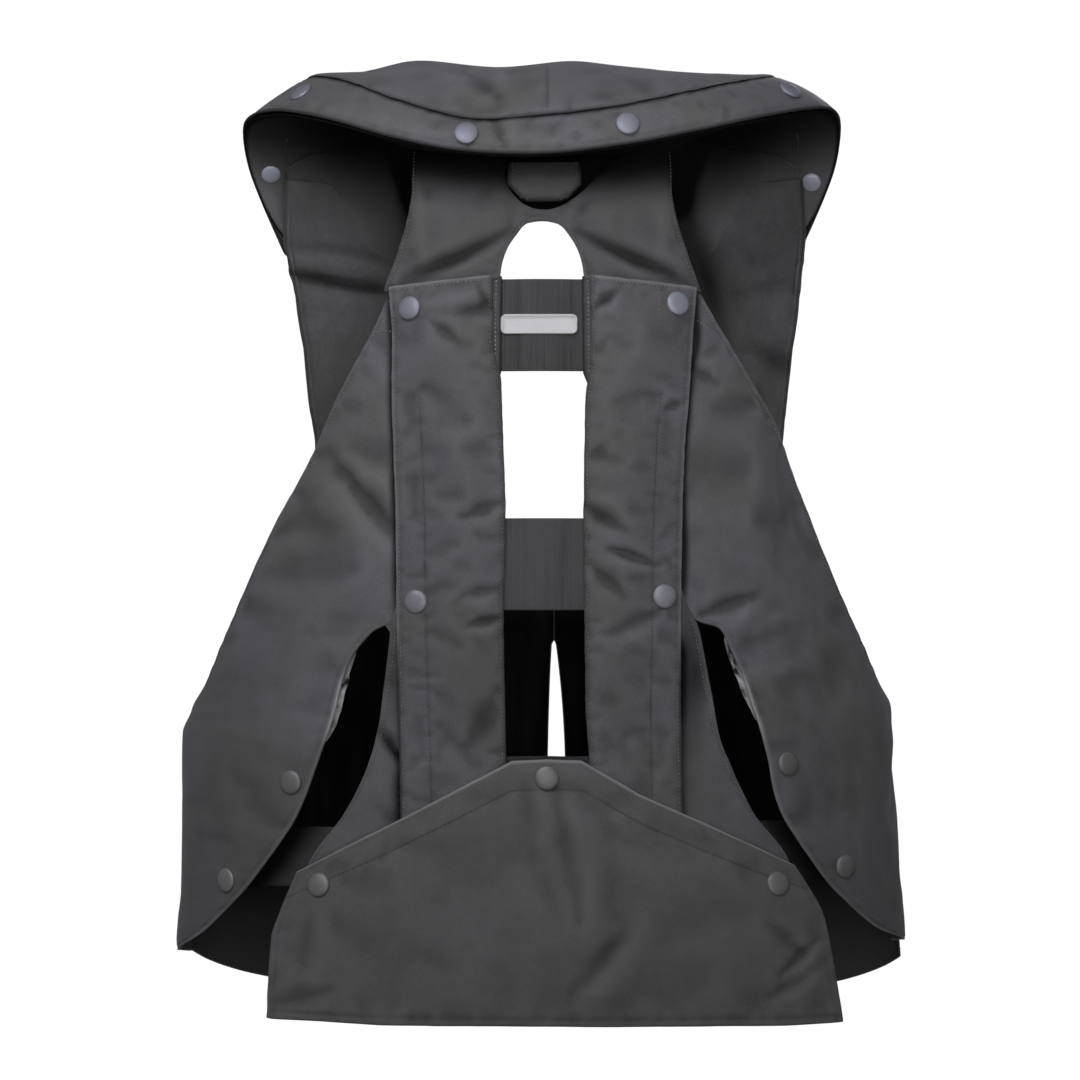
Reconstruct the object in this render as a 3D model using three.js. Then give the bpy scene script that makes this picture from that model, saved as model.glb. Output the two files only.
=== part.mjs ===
import * as THREE from "three";

// Airbag vest in its worn shape. Millimetres, +Z up, the wearer faces +Y, so the back faces -Y.
// Zero is on the middle plane, between back and front, level with the shoulder seams.

const cloth = 2;
const airGap = 0.8;
const coverLift = cloth + airGap;

const sides = [
  { name: "left", sign: -1 },
  { name: "right", sign: 1 },
];

const looks = {
  nylon: { color: 0x4b4b4e, roughness: 0.82, metalness: 0 },
  lining: { color: 0x29292b, roughness: 0.9, metalness: 0 },
  elastic: { color: 0x3d3d40, roughness: 0.88, metalness: 0 },
  metal: { color: 0x85888f, roughness: 0.42, metalness: 0.7 },
  plate: { color: 0xb4b6ba, roughness: 0.5, metalness: 0.1 },
  plastic: { color: 0x232325, roughness: 0.5, metalness: 0 },
};

// The wearer's outline: half width, depth of back and front from the zero plane, and how much
// further the left side stands out than the right one.
const bodyForm = [
  { z: 40, half: 205, back: 50, front: 28, leftOut: 0 },
  { z: 0, half: 205, back: 84, front: 62, leftOut: 0 },
  { z: -50, half: 203, back: 107, front: 89, leftOut: 0 },
  { z: -100, half: 200, back: 116, front: 102, leftOut: 0 },
  { z: -210, half: 202, back: 120, front: 114, leftOut: 0 },
  { z: -315, half: 230, back: 121, front: 118, leftOut: 1 },
  { z: -400, half: 253, back: 122, front: 120, leftOut: 6 },
  { z: -460, half: 256, back: 124, front: 121, leftOut: 4 },
  { z: -530, half: 260, back: 126, front: 122, leftOut: 1 },
  { z: -625, half: 267, back: 130, front: 122, leftOut: 0 },
];

function mix(from, to, part) {
  return from + (to - from) * part;
}

function clamp(value, low, high) {
  return Math.min(Math.max(value, low), high);
}

function ease(value) {
  const part = clamp(value, 0, 1);
  return part * part * (3 - 2 * part);
}

// Smooth curve through a table read by one of its columns; it never swings past a row.
function along(rows, key, column, at) {
  const list = [...rows].sort((p, q) => p[key] - q[key]);
  const last = list.length - 1;
  if (at <= list[0][key]) return list[0][column];
  if (at >= list[last][key]) return list[last][column];
  let i = 0;
  while (at > list[i + 1][key]) i += 1;
  const slope = (k) => (list[k + 1][column] - list[k][column]) / (list[k + 1][key] - list[k][key]);
  const tangent = (k) => {
    if (k === 0) return slope(0);
    if (k === last) return slope(last - 1);
    const before = slope(k - 1);
    const after = slope(k);
    if (before * after <= 0) return 0;
    return (2 * before * after) / (before + after);
  };
  const span = list[i + 1][key] - list[i][key];
  const t = (at - list[i][key]) / span;
  const rise = list[i + 1][column] - list[i][column];
  const bend = t * (1 - t) * ((1 - t) * (tangent(i) * span - rise) - t * (tangent(i + 1) * span - rise));
  return mix(list[i][column], list[i + 1][column], t) + bend;
}

// Smooth curve through the rows of a table in their order, from 0 at the first to 1 at the last.
function through(rows, column, part) {
  const last = rows.length - 1;
  const at = clamp(part, 0, 1) * last;
  const i = Math.min(Math.floor(at), last - 1);
  const f = at - i;
  const p1 = rows[i][column];
  const p2 = rows[i + 1][column];
  const p0 = i > 0 ? rows[i - 1][column] : 2 * p1 - p2;
  const p3 = i < last - 1 ? rows[i + 2][column] : 2 * p2 - p1;
  const cubic = (3 * p1 - p0 - 3 * p2 + p3) * f;
  return p1 + 0.5 * f * (p2 - p0 + f * (2 * p0 - 5 * p1 + 4 * p2 - p3 + cubic));
}

// Straight runs between the rows of a table in their order, so that corners stay sharp.
function between(rows, column, part) {
  const at = clamp(part, 0, 1) * (rows.length - 1);
  const i = Math.min(Math.floor(at), rows.length - 2);
  return mix(rows[i][column], rows[i + 1][column], at - i);
}

function pointThrough(rows, part) {
  return new THREE.Vector3(through(rows, "x", part), through(rows, "y", part), through(rows, "z", part));
}

// Mirrors a table of the right half; rise is how much higher the right half sits than the left.
function mirrored(rows) {
  const other = rows.slice(1).reverse().map((row) => ({ ...row, x: -row.x }));
  const own = rows.map((row) => ({ ...row, z: row.z + (row.rise ?? 0) }));
  return [...other, ...own];
}

// A place on the form: turn is counted in degrees from the middle of the back, + towards +X.
function onForm(turn, z, lift) {
  const angle = (turn * Math.PI) / 180;
  const half = along(bodyForm, "z", "half", z);
  const depth = along(bodyForm, "z", Math.cos(angle) >= 0 ? "back" : "front", z);
  const out = new THREE.Vector3(Math.sin(angle) / half, -Math.cos(angle) / depth, 0).normalize();
  const place = new THREE.Vector3(half * Math.sin(angle), -depth * Math.cos(angle), z);
  const lean = Math.pow(Math.max(-Math.sin(angle), 0), 3);
  place.x -= along(bodyForm, "z", "leftOut", z) * lean;
  return place.addScaledVector(out, lift);
}

function turnAt(x, z) {
  const half = along(bodyForm, "z", "half", z);
  return (Math.asin(clamp(x / half, -1, 1)) * 180) / Math.PI;
}

function sideways(turn, z) {
  return along(bodyForm, "z", "half", z) * Math.sin((turn * Math.PI) / 180);
}

// Height of the soft ridges of a fold table at one place of a panel.
function foldHeight(folds, x, z) {
  let height = 0;
  for (const fold of folds) {
    const dx = fold.toX - fold.x;
    const dz = fold.toZ - fold.z;
    const part = ((x - fold.x) * dx + (z - fold.z) * dz) / (dx * dx + dz * dz);
    const near = clamp(part, 0, 1);
    const off = Math.hypot(x - fold.x - near * dx, z - fold.z - near * dz) / fold.wide;
    height += fold.high * Math.exp(-off * off);
  }
  return height;
}

function finish(name, look, points, faces) {
  let volume = 0;
  for (const [a, b, c] of faces) {
    volume += points[a].dot(new THREE.Vector3().crossVectors(points[b], points[c]));
  }
  const order = volume < 0 ? faces.map(([a, b, c]) => [a, c, b]) : faces;
  const geometry = new THREE.BufferGeometry();
  const coords = points.flatMap((p) => [p.x, p.y, p.z]);
  geometry.setAttribute("position", new THREE.Float32BufferAttribute(coords, 3));
  geometry.setIndex(order.flat());
  geometry.computeVertexNormals();
  const mesh = new THREE.Mesh(geometry, new THREE.MeshStandardMaterial(looks[look]));
  mesh.name = name;
  return mesh;
}

// A cloth wall: a grid of places, each with a point on the outer and on the inner face.
function wall(name, look, across, down, place) {
  const over = [];
  const under = [];
  for (let j = 0; j <= down; j += 1) {
    for (let i = 0; i <= across; i += 1) {
      const spot = place(i / across, j / down);
      over.push(spot.over);
      under.push(spot.under);
    }
  }
  const wide = across + 1;
  const shift = over.length;
  const faces = [];
  for (let j = 0; j < down; j += 1) {
    for (let i = 0; i < across; i += 1) {
      const a = j * wide + i;
      const b = a + 1;
      const c = b + wide;
      const d = a + wide;
      faces.push([a, b, c], [a, c, d]);
      faces.push([shift + a, shift + c, shift + b], [shift + a, shift + d, shift + c]);
    }
  }
  const rim = [];
  for (let i = 0; i < across; i += 1) rim.push(i);
  for (let j = 0; j < down; j += 1) rim.push(j * wide + across);
  for (let i = across; i > 0; i -= 1) rim.push(down * wide + i);
  for (let j = down; j > 0; j -= 1) rim.push(j * wide);
  rim.forEach((a, k) => {
    const b = rim[(k + 1) % rim.length];
    faces.push([b, a, shift + a], [b, shift + a, shift + b]);
  });
  return finish(name, look, [...over, ...under], faces);
}

// A panel that lies on the form: spot gives turn, z and the lift of its inner face.
function panel(name, look, across, down, spot, thick = cloth) {
  return wall(name, look, across, down, (u, v) => {
    const at = spot(u, v);
    return { under: onForm(at.turn, at.z, at.lift), over: onForm(at.turn, at.z, at.lift + thick) };
  });
}

function normalOf(surface, u, v) {
  const step = 0.004;
  const uLow = Math.max(u - step, 0);
  const uHigh = Math.min(u + step, 1);
  const vLow = Math.max(v - step, 0);
  const vHigh = Math.min(v + step, 1);
  const alongU = surface(uHigh, v).sub(surface(uLow, v));
  const alongV = surface(u, vHigh).sub(surface(u, vLow));
  return alongU.cross(alongV).normalize();
}

// A free cloth shell: the surface is its outer face and it is thick along its own normal.
function shell(name, look, across, down, surface, thick) {
  return wall(name, look, across, down, (u, v) => {
    const over = surface(u, v);
    const under = over.clone().addScaledVector(normalOf(surface, u, v), -thick);
    return { over, under };
  });
}

function outerFace(spot, thick = cloth) {
  return (u, v) => {
    const at = spot(u, v);
    return onForm(at.turn, at.z, at.lift + thick);
  };
}

// Finds the place of a surface that stands at a given x and z.
function locate(surface, x, z) {
  let best = { u: 0.5, v: 0.5 };
  let reach = 0.5;
  for (let round = 0; round < 12; round += 1) {
    const from = best;
    let least = Infinity;
    for (let i = -5; i <= 5; i += 1) {
      for (let j = -5; j <= 5; j += 1) {
        const u = clamp(from.u + (reach * i) / 5, 0, 1);
        const v = clamp(from.v + (reach * j) / 5, 0, 1);
        const spot = surface(u, v);
        const miss = Math.hypot(spot.x - x, spot.z - z);
        if (miss < least) {
          least = miss;
          best = { u, v };
        }
      }
    }
    reach *= 0.45;
  }
  return best;
}

// A press-stud cap: a low dome that stands just off the cloth under it.
const snapRings = [
  { radius: 7.6, rise: 0 },
  { radius: 7.6, rise: 1.2 },
  { radius: 5.4, rise: 2.5 },
];
const snapSides = 10;
const snapTop = 2.9;
const snapGap = 0.8;

function snap(name, surface, u, v, facing, standOff) {
  const out = normalOf(surface, u, v).multiplyScalar(facing);
  const base = surface(u, v).addScaledVector(out, standOff);
  const turned = new THREE.Quaternion().setFromUnitVectors(new THREE.Vector3(0, 0, 1), out);
  const points = [];
  for (const ring of snapRings) {
    for (let k = 0; k < snapSides; k += 1) {
      const angle = (2 * Math.PI * k) / snapSides;
      points.push(new THREE.Vector3(ring.radius * Math.cos(angle), ring.radius * Math.sin(angle), ring.rise));
    }
  }
  points.push(new THREE.Vector3(0, 0, snapTop), new THREE.Vector3(0, 0, 0));
  const top = points.length - 2;
  const low = points.length - 1;
  const lastRing = (snapRings.length - 1) * snapSides;
  const faces = [];
  for (let k = 0; k < snapSides; k += 1) {
    const n = (k + 1) % snapSides;
    for (let r = 0; r < snapRings.length - 1; r += 1) {
      const a = r * snapSides;
      const b = a + snapSides;
      faces.push([a + k, a + n, b + n], [a + k, b + n, b + k]);
    }
    faces.push([lastRing + k, lastRing + n, top], [n, k, low]);
  }
  points.forEach((p) => p.applyQuaternion(turned).add(base));
  return finish(name, "metal", points, faces);
}

const vest = new THREE.Group();
vest.name = "airbag_vest";

// Yoke: a loft from the arched cut-out to its outer edge, from one lower corner to the other.
const yokeRows = [
  { archX: 29, archZ: -97, edgeX: 109.5, edgeZ: -104 },
  { archX: 27.5, archZ: -87, edgeX: 99, edgeZ: -81 },
  { archX: 24, archZ: -77, edgeX: 91.5, edgeZ: -59 },
  { archX: 19.5, archZ: -68.5, edgeX: 88, edgeZ: -38 },
  { archX: 15, archZ: -62.5, edgeX: 88.5, edgeZ: -18 },
  { archX: 10.5, archZ: -59, edgeX: 88, edgeZ: 1 },
  { archX: 5.5, archZ: -57.3, edgeX: 45, edgeZ: 3 },
  { archX: 0, archZ: -57, edgeX: 0, edgeZ: 3 },
];
const yokeFolds = [
  { x: -24, z: -68, toX: -98, toZ: -100, wide: 9, high: 2.6 },
  { x: 26, z: -66, toX: 100, toZ: -97, wide: 9, high: 2.4 },
  { x: -70, z: -20, toX: -84, toZ: -70, wide: 8, high: 1.6 },
  { x: 68, z: -18, toX: 84, toZ: -66, wide: 8, high: 1.6 },
];
const yokeAll = [
  ...yokeRows.map((row) => ({ ...row, archX: -row.archX, edgeX: -row.edgeX })),
  ...yokeRows.slice(0, -1).reverse(),
];

function yokeSpot(u, v) {
  const x = mix(through(yokeAll, "archX", u), through(yokeAll, "edgeX", u), v);
  const z = mix(through(yokeAll, "archZ", u), through(yokeAll, "edgeZ", u), v);
  return { turn: turnAt(x, z), z, lift: coverLift + foldHeight(yokeFolds, x, z) };
}

vest.add(panel("yoke", "nylon", 28, 6, yokeSpot));

function yokeHem(x) {
  const first = yokeRows[0];
  return mix(first.archZ, first.edgeZ, (Math.abs(x) - first.archX) / (first.edgeX - first.archX));
}

// Back panel: the under layer round the long window, out to the slits and down to the hem.
const legEdge = [
  { z: -95, left: 27.1, right: 27.1 },
  { z: -200, left: 26.6, right: 26.6 },
  { z: -298, left: 24, right: 24 },
  { z: -316, left: 24.6, right: 24.8 },
  { z: -335, left: 25.2, right: 26.6 },
  { z: -362, left: 25.3, right: 26.9 },
  { z: -386, left: 25.4, right: 27.3 },
  { z: -408, left: 26, right: 28.1 },
  { z: -427, left: 27.3, right: 30 },
  { z: -459, left: 31.2, right: 33.9 },
  { z: -492, left: 37.4, right: 40.5 },
  { z: -530, left: 41.5, right: 43.5 },
  { z: -594, left: 42.5, right: 44 },
];
const windowRows = [
  { x: 40, z: -95, edgeZ: -95, reach: 1 },
  { x: 40, z: -165, edgeZ: -165, reach: 1 },
  { x: 40, z: -235, edgeZ: -235, reach: 1 },
  { x: 40, z: -300, edgeZ: -300, reach: 1 },
  { x: 40, z: -345, edgeZ: -345, reach: 1 },
  { x: 40, z: -380, edgeZ: -392, reach: 1 },
  { x: 40, z: -405, edgeZ: -440, reach: 1 },
  { x: 37, z: -418, edgeZ: -492, reach: 1 },
  { x: 27, z: -420, edgeZ: -545, reach: 1 },
  { x: 16, z: -420, edgeZ: -590, reach: 0.98 },
  { x: 8, z: -420, edgeZ: -593, reach: 0.5 },
  { x: 0, z: -420, edgeZ: -593, reach: 0 },
];

function backSpot(u, v) {
  const side = u < 0.5 ? sides[0] : sides[1];
  const part = 1 - Math.abs(2 * u - 1);
  const windowZ = through(windowRows, "z", part);
  const edgeZ = through(windowRows, "edgeZ", part);
  const windowTurn = turnAt(through(windowRows, "x", part), windowZ);
  const edgeTurn = along(legEdge, "z", side.name, edgeZ) * through(windowRows, "reach", part);
  return { turn: side.sign * mix(windowTurn, edgeTurn, v), z: mix(windowZ, edgeZ, v), lift: 0 };
}

vest.add(panel("back_panel", "nylon", 46, 4, backSpot));

// Side panels: from the seam beside the flap and the slit edge out to the armhole and side seam.
const sideRows = {
  left: [
    { inner: 27.5, innerZ: -95, outer: 30, outerZ: -97 },
    { inner: 27.3, innerZ: -150, outer: 35, outerZ: -131 },
    { inner: 27, innerZ: -205, outer: 44, outerZ: -175 },
    { inner: 25.6, innerZ: -255, outer: 51, outerZ: -213 },
    { inner: 24.5, innerZ: -298, outer: 59.4, outerZ: -259 },
    { inner: 25.5, innerZ: -327, outer: 65, outerZ: -302 },
    { inner: 30, innerZ: -336, outer: 70, outerZ: -344 },
    { inner: 32.4, innerZ: -358, outer: 75, outerZ: -378 },
    { inner: 33.5, innerZ: -398, outer: 87, outerZ: -398 },
    { inner: 36, innerZ: -430, outer: 100, outerZ: -420 },
    { inner: 39.4, innerZ: -462, outer: 100, outerZ: -450 },
    { inner: 45.4, innerZ: -493, outer: 100, outerZ: -485 },
    { inner: 53.5, innerZ: -523, outer: 100, outerZ: -522 },
    { inner: 66, innerZ: -552, outer: 100, outerZ: -554 },
    { inner: 84, innerZ: -571, outer: 100, outerZ: -578 },
  ],
  right: [
    { inner: 27.5, innerZ: -95, outer: 30.6, outerZ: -97 },
    { inner: 27.3, innerZ: -150, outer: 37, outerZ: -128 },
    { inner: 27, innerZ: -205, outer: 46, outerZ: -166 },
    { inner: 25.6, innerZ: -255, outer: 54.5, outerZ: -200 },
    { inner: 24.5, innerZ: -298, outer: 59.8, outerZ: -248 },
    { inner: 26.3, innerZ: -326, outer: 65, outerZ: -300 },
    { inner: 30.6, innerZ: -334, outer: 70, outerZ: -341 },
    { inner: 32.3, innerZ: -354, outer: 75, outerZ: -378 },
    { inner: 33.7, innerZ: -384, outer: 87, outerZ: -397 },
    { inner: 35.9, innerZ: -418, outer: 100, outerZ: -420 },
    { inner: 38, innerZ: -455, outer: 100, outerZ: -450 },
    { inner: 44, innerZ: -490, outer: 100, outerZ: -485 },
    { inner: 51.4, innerZ: -519, outer: 100, outerZ: -520 },
    { inner: 64, innerZ: -547, outer: 100, outerZ: -549 },
    { inner: 83, innerZ: -563, outer: 100, outerZ: -570 },
  ],
};
const wingLift = 11;
const sideSeam = 100;
const seamTurn = 0.19;
const sideFolds = {
  left: [
    { x: -148, z: -236, toX: -122, toZ: -262, wide: 15, high: 1.8 },
    { x: -128, z: -322, toX: -196, toZ: -350, wide: 16, high: 2 },
    { x: -160, z: -400, toX: -222, toZ: -420, wide: 18, high: 2 },
  ],
  right: [
    { x: 132, z: -316, toX: 196, toZ: -338, wide: 16, high: 2 },
    { x: 162, z: -392, toX: 222, toZ: -412, wide: 18, high: 2 },
  ],
};

function sideSpot(side) {
  const rows = sideRows[side.name];
  return (u, v) => {
    const outer = Math.min(through(rows, "outer", v), sideSeam - seamTurn);
    const turn = side.sign * mix(through(rows, "inner", v), outer, u);
    const z = mix(through(rows, "innerZ", v), through(rows, "outerZ", v), u);
    const mouth = ease((v - 0.36) / 0.26) * ease((1.06 - v) / 0.4);
    const lift = wingLift * mouth * Math.pow(1 - u, 2.2) + foldHeight(sideFolds[side.name], sideways(turn, z), z);
    return { turn, z, lift };
  };
}

for (const side of sides) vest.add(panel("side_panel_" + side.name, "nylon", 8, 26, sideSpot(side)));

// Back flaps: soft crowned flaps beside the window, sewn along it and snapped on the other edge.
const flapRows = [
  { z: -97, leftInner: 30.4, leftOuter: 102, rightInner: 29.6, rightOuter: 103 },
  { z: -138, leftInner: 29.5, leftOuter: 100, rightInner: 30.9, rightOuter: 100.5 },
  { z: -180, leftInner: 28.2, leftOuter: 99.4, rightInner: 29.3, rightOuter: 97 },
  { z: -210, leftInner: 26.3, leftOuter: 98.4, rightInner: 28.8, rightOuter: 94.4 },
  { z: -260, leftInner: 24.9, leftOuter: 96.8, rightInner: 28.2, rightOuter: 92.7 },
  { z: -320, leftInner: 26.3, leftOuter: 96.2, rightInner: 28.8, rightOuter: 91.9 },
  { z: -381, leftInner: 25.6, leftOuter: 95.4, rightInner: 29.5, rightOuter: 91.8 },
  { z: -420, leftInner: 24.9, leftOuter: 94, rightInner: 32.2, rightOuter: 92.5 },
  { z: -476, leftInner: 27, leftOuter: 93, rightInner: 34, rightOuter: 93.5 },
];
const flapGap = 0.9;
const flapEnd = -476;
const flapCrown = 4.6;

function flapSpot(side) {
  const first = flapRows[0];
  return (u, v) => {
    const topX = mix(first[side.name + "Inner"], first[side.name + "Outer"], u);
    const z = mix(yokeHem(topX) - flapGap, flapEnd, v);
    const inner = along(flapRows, "z", side.name + "Inner", z);
    const outer = along(flapRows, "z", side.name + "Outer", z);
    const puff = Math.sin(Math.PI * Math.pow(u, 0.9)) * ease(v / 0.06) * (1 - 0.75 * ease((-350 - z) / 60));
    return { turn: turnAt(side.sign * mix(inner, outer, u), z), z, lift: coverLift + flapCrown * puff };
  };
}

for (const side of sides) vest.add(panel("back_flap_" + side.name, "nylon", 6, 22, flapSpot(side)));

// Elastics across the window and the bare plate on the upper one.
const elasticHalf = 38.5;
const elasticThick = 1.4;
const elastics = [
  { name: "elastic_upper", top: -98.5, bottom: -159.6 },
  { name: "elastic_lower", top: -260, bottom: -320.5 },
];

function elasticSpot(band) {
  return (u, v) => {
    const z = mix(band.top, band.bottom, v);
    return { turn: turnAt(mix(-elasticHalf, elasticHalf, u), z), z, lift: cloth - elasticThick };
  };
}

for (const band of elastics) vest.add(panel(band.name, "elastic", 8, 4, elasticSpot(band), elasticThick));

const plate = { x: -2, z: -128.5, half: 25.6, tall: 13.4, corner: 3.6, thick: 1.8 };

function plateSpot(u, v) {
  const away = (v - 0.5) * plate.tall;
  const bend = Math.max(Math.abs(away) - plate.tall / 2 + plate.corner, 0);
  const half = plate.half - plate.corner + Math.sqrt(plate.corner * plate.corner - bend * bend * 0.98);
  const z = plate.z - away;
  return { turn: turnAt(plate.x + mix(-half, half, u), z), z, lift: cloth + 0.5 };
}

vest.add(panel("label_plate", "plate", 6, 5, plateSpot, plate.thick));

// Nape tab: hangs from under the collar over the yoke, with chamfered lower corners.
const tabRows = [
  { z: -17, half: 24 },
  { z: -35.5, half: 24 },
  { z: -48.5, half: 13.5 },
];
const tabCentre = 1.5;

function tabSpot(u, v) {
  const z = between(tabRows, "z", v);
  const half = between(tabRows, "half", v);
  return { turn: turnAt(tabCentre + mix(-half, half, u), z), z, lift: coverLift + cloth + airGap };
}

vest.add(panel("nape_tab", "nylon", 6, 4, tabSpot, 2.4));

// Tail flap: a shield that stands off the hips, loose along its slanted top edge.
const tailRows = [
  { topX: -163, topZ: -500, endX: -176, endZ: -596 },
  { topX: -130, topZ: -481.5, endX: -145, endZ: -596 },
  { topX: -95, topZ: -463, endX: -106, endZ: -597 },
  { topX: -58, topZ: -443, endX: -65, endZ: -596.5 },
  { topX: -20, topZ: -422.5, endX: -25, endZ: -596 },
  { topX: 3, topZ: -421.4, endX: 3, endZ: -596 },
  { topX: 26, topZ: -422.3, endX: 31, endZ: -596.5 },
  { topX: 64, topZ: -445, endX: 74, endZ: -597 },
  { topX: 104, topZ: -463.5, endX: 115, endZ: -598 },
  { topX: 140, topZ: -481, endX: 156, endZ: -597 },
  { topX: 169, topZ: -496, endX: 191, endZ: -597.5 },
];
const tailSides = [
  { v: 0, left: 0, right: 0 },
  { v: 0.333, left: 0.78, right: 0.68 },
  { v: 0.444, left: 0.98, right: 0.76 },
  { v: 0.7, left: 1, right: 0.88 },
  { v: 1, left: 1, right: 1 },
];
const tailFolds = [
  { x: -4, z: -455, toX: -12, toZ: -585, wide: 12, high: 4 },
  { x: 28, z: -475, toX: 36, toZ: -590, wide: 13, high: 3.6 },
  { x: 160, z: -545, toX: 140, toZ: -592, wide: 16, high: 2.6 },
  { x: -145, z: -545, toX: -122, toZ: -590, wide: 16, high: 2.4 },
];
const tailLift = 6.9;
const tailFlare = 4;
const cornerFlare = 11;

function tailSpot(u, v) {
  const bow = along(tailSides, "v", u < 0.5 ? "left" : "right", v);
  const edge = Math.pow(Math.abs(2 * u - 1), 3);
  const sway = mix(v, bow, edge);
  const x = mix(between(tailRows, "topX", u), between(tailRows, "endX", u), sway);
  const z = mix(between(tailRows, "topZ", u), between(tailRows, "endZ", u), v);
  const flare = tailFlare * v + cornerFlare * edge * Math.pow(v, 0.7);
  return { turn: turnAt(x, z), z, lift: tailLift + flare + foldHeight(tailFolds, x, z) };
}

vest.add(panel("tail_flap", "nylon", 20, 9, tailSpot));

// Side straps: elastics inside the slits, from under the back panel to under the wing.
const strapRows = { left: { from: 30, to: 66, z: -490 }, right: { from: 32, to: 68, z: -486 } };
const strapTall = 39;
const strapThick = 1.6;
const strapGap = 1.25;

function strapSpot(side) {
  const strap = strapRows[side.name];
  return (u, v) => ({
    turn: side.sign * mix(strap.from, strap.to, u),
    z: strap.z + (0.5 - v) * strapTall - 14 * Math.pow(u, 2),
    lift: -strapThick - strapGap,
  });
}

for (const side of sides) vest.add(panel("side_strap_" + side.name, "elastic", 10, 2, strapSpot(side), strapThick));

// Fronts: from the armhole and side seam to the deep neck and the closed middle.
const frontOuter = [
  { z: -6, left: 112, right: 110 },
  { z: -54, left: 109.5, right: 106.5 },
  { z: -79, left: 112.5, right: 107 },
  { z: -108, left: 114.5, right: 108.5 },
  { z: -130, left: 116.8, right: 111 },
  { z: -168, left: 119, right: 114 },
  { z: -205, left: 122, right: 116.5 },
  { z: -270, left: 121.5, right: 118 },
  { z: -340, left: 113, right: 112 },
  { z: -385, left: 104, right: 104 },
  { z: -408, left: 100, right: 100 },
  { z: -620, left: 100, right: 100 },
];
const frontInner = [
  { z: -6, left: -77, right: 77 },
  { z: -45, left: -72, right: 72 },
  { z: -150, left: -60, right: 60 },
  { z: -258, left: -38, right: 42 },
  { z: -300, left: -14, right: 28 },
  { z: -326, left: 9.2, right: 10.2 },
  { z: -352, left: 9.2, right: 10.2 },
  { z: -380, left: 6.8, right: 13 },
  { z: -446, left: 4, right: 19.4 },
  { z: -622, left: 1, right: 22 },
];
const frontTop = -6;
const frontHem = { left: { side: -582, middle: -622 }, right: { side: -574, middle: -622 } };

function frontSpot(side) {
  const hem = frontHem[side.name];
  return (u, v) => {
    const low = mix(hem.side, hem.middle, Math.sin((Math.min(u / 0.6, 1) * Math.PI) / 2));
    const z = mix(frontTop, low, v);
    const outer = Math.max(along(frontOuter, "z", side.name, z), sideSeam + seamTurn);
    const inner = 180 - side.sign * turnAt(along(frontInner, "z", side.name, z), z);
    return { turn: side.sign * mix(outer, inner, u), z, lift: 0 };
  };
}

for (const side of sides) vest.add(panel("front_panel_" + side.name, "nylon", 7, 19, frontSpot(side)));

const clasp = { x: 11, z: -505, half: 30, tall: 30, thick: 7 };

function claspSpot(u, v) {
  const z = clasp.z + (0.5 - v) * clasp.tall;
  return { turn: 180 - turnAt(clasp.x + mix(-clasp.half, clasp.half, u), z), z, lift: coverLift };
}

vest.add(panel("front_clasp", "plastic", 4, 2, claspSpot, clasp.thick));

// Shoulders: plain saddles under the collar that join the yoke to the fronts.
const shoulderRows = [
  { innerX: 40, innerY: -88.3, innerZ: -7, outerX: 86, outerY: -81.8, outerZ: -7 },
  { innerX: 50, innerY: -66, innerZ: 2, outerX: 96, outerY: -62, outerZ: 1 },
  { innerX: 62, innerY: -34, innerZ: 5, outerX: 115, outerY: -36, outerZ: 4 },
  { innerX: 70, innerY: 0, innerZ: 5, outerX: 138, outerY: -13, outerZ: 4 },
  { innerX: 75, innerY: 34, innerZ: 0, outerX: 164, outerY: 6, outerZ: -2 },
  { innerX: 78, innerY: 64.2, innerZ: -15, outerX: 184, outerY: 30.1, outerZ: -15 },
];

function shoulderSurface(side) {
  return (u, v) => {
    const at = (name) => mix(through(shoulderRows, "inner" + name, u), through(shoulderRows, "outer" + name, u), v);
    return new THREE.Vector3(side.sign * at("X"), at("Y"), at("Z"));
  };
}

for (const side of sides) {
  vest.add(shell("shoulder_" + side.name, "lining", 10, 5, shoulderSurface(side), -side.sign * cloth));
}

// Collar: five lines run from the middle of the back over the shoulder to the end on the chest.
const rimLine = mirrored([
  { x: 0, y: -127, z: -18 },
  { x: 55.6, y: -126, z: -13 },
  { x: 101, y: -120, z: -2.5 },
  { x: 143.7, y: -106, z: 11.4 },
  { x: 180, y: -76, z: 24 },
  { x: 206, y: -38, z: 32 },
  { x: 218, y: 5, z: 26 },
  { x: 217, y: 38, z: -2 },
  { x: 198, y: 60, z: -49 },
  { x: 191, y: 48, z: -58 },
]);
const seamLine = mirrored([
  { x: 0, y: -118, z: 13 },
  { x: 48, y: -116, z: 11, rise: 8 },
  { x: 97, y: -108, z: 26, rise: 5.5 },
  { x: 126, y: -91, z: 39.5, rise: 1 },
  { x: 148, y: -70, z: 49, rise: -1 },
  { x: 166, y: -40, z: 53 },
  { x: 180, y: -2, z: 48 },
  { x: 181, y: 36, z: 23 },
  { x: 164, y: 74, z: -40 },
  { x: 158, y: 68, z: -62 },
]);
const ridgeLine = mirrored([
  { x: 0, y: -62, z: 56.5 },
  { x: 50, y: -60, z: 57.5, rise: -1 },
  { x: 95, y: -52, z: 61, rise: -6 },
  { x: 123, y: -38, z: 58, rise: -5 },
  { x: 143, y: -20, z: 56, rise: -2 },
  { x: 155, y: 0, z: 54 },
  { x: 160, y: 25, z: 44 },
  { x: 155, y: 56, z: 18 },
  { x: 137, y: 88, z: -42 },
  { x: 125, y: 80, z: -65 },
]);
const neckLine = mirrored([
  { x: 0, y: -85, z: 3.8 },
  { x: 32, y: -82.5, z: 4 },
  { x: 51, y: -62, z: 4.6 },
  { x: 60, y: -40, z: 6.6 },
  { x: 66.5, y: -16, z: 7 },
  { x: 71, y: 4, z: 6.8 },
  { x: 76, y: 32, z: 3 },
  { x: 79, y: 66.5, z: -7 },
  { x: 70, y: 91, z: -50 },
  { x: 69, y: 93, z: -64 },
]);
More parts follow.
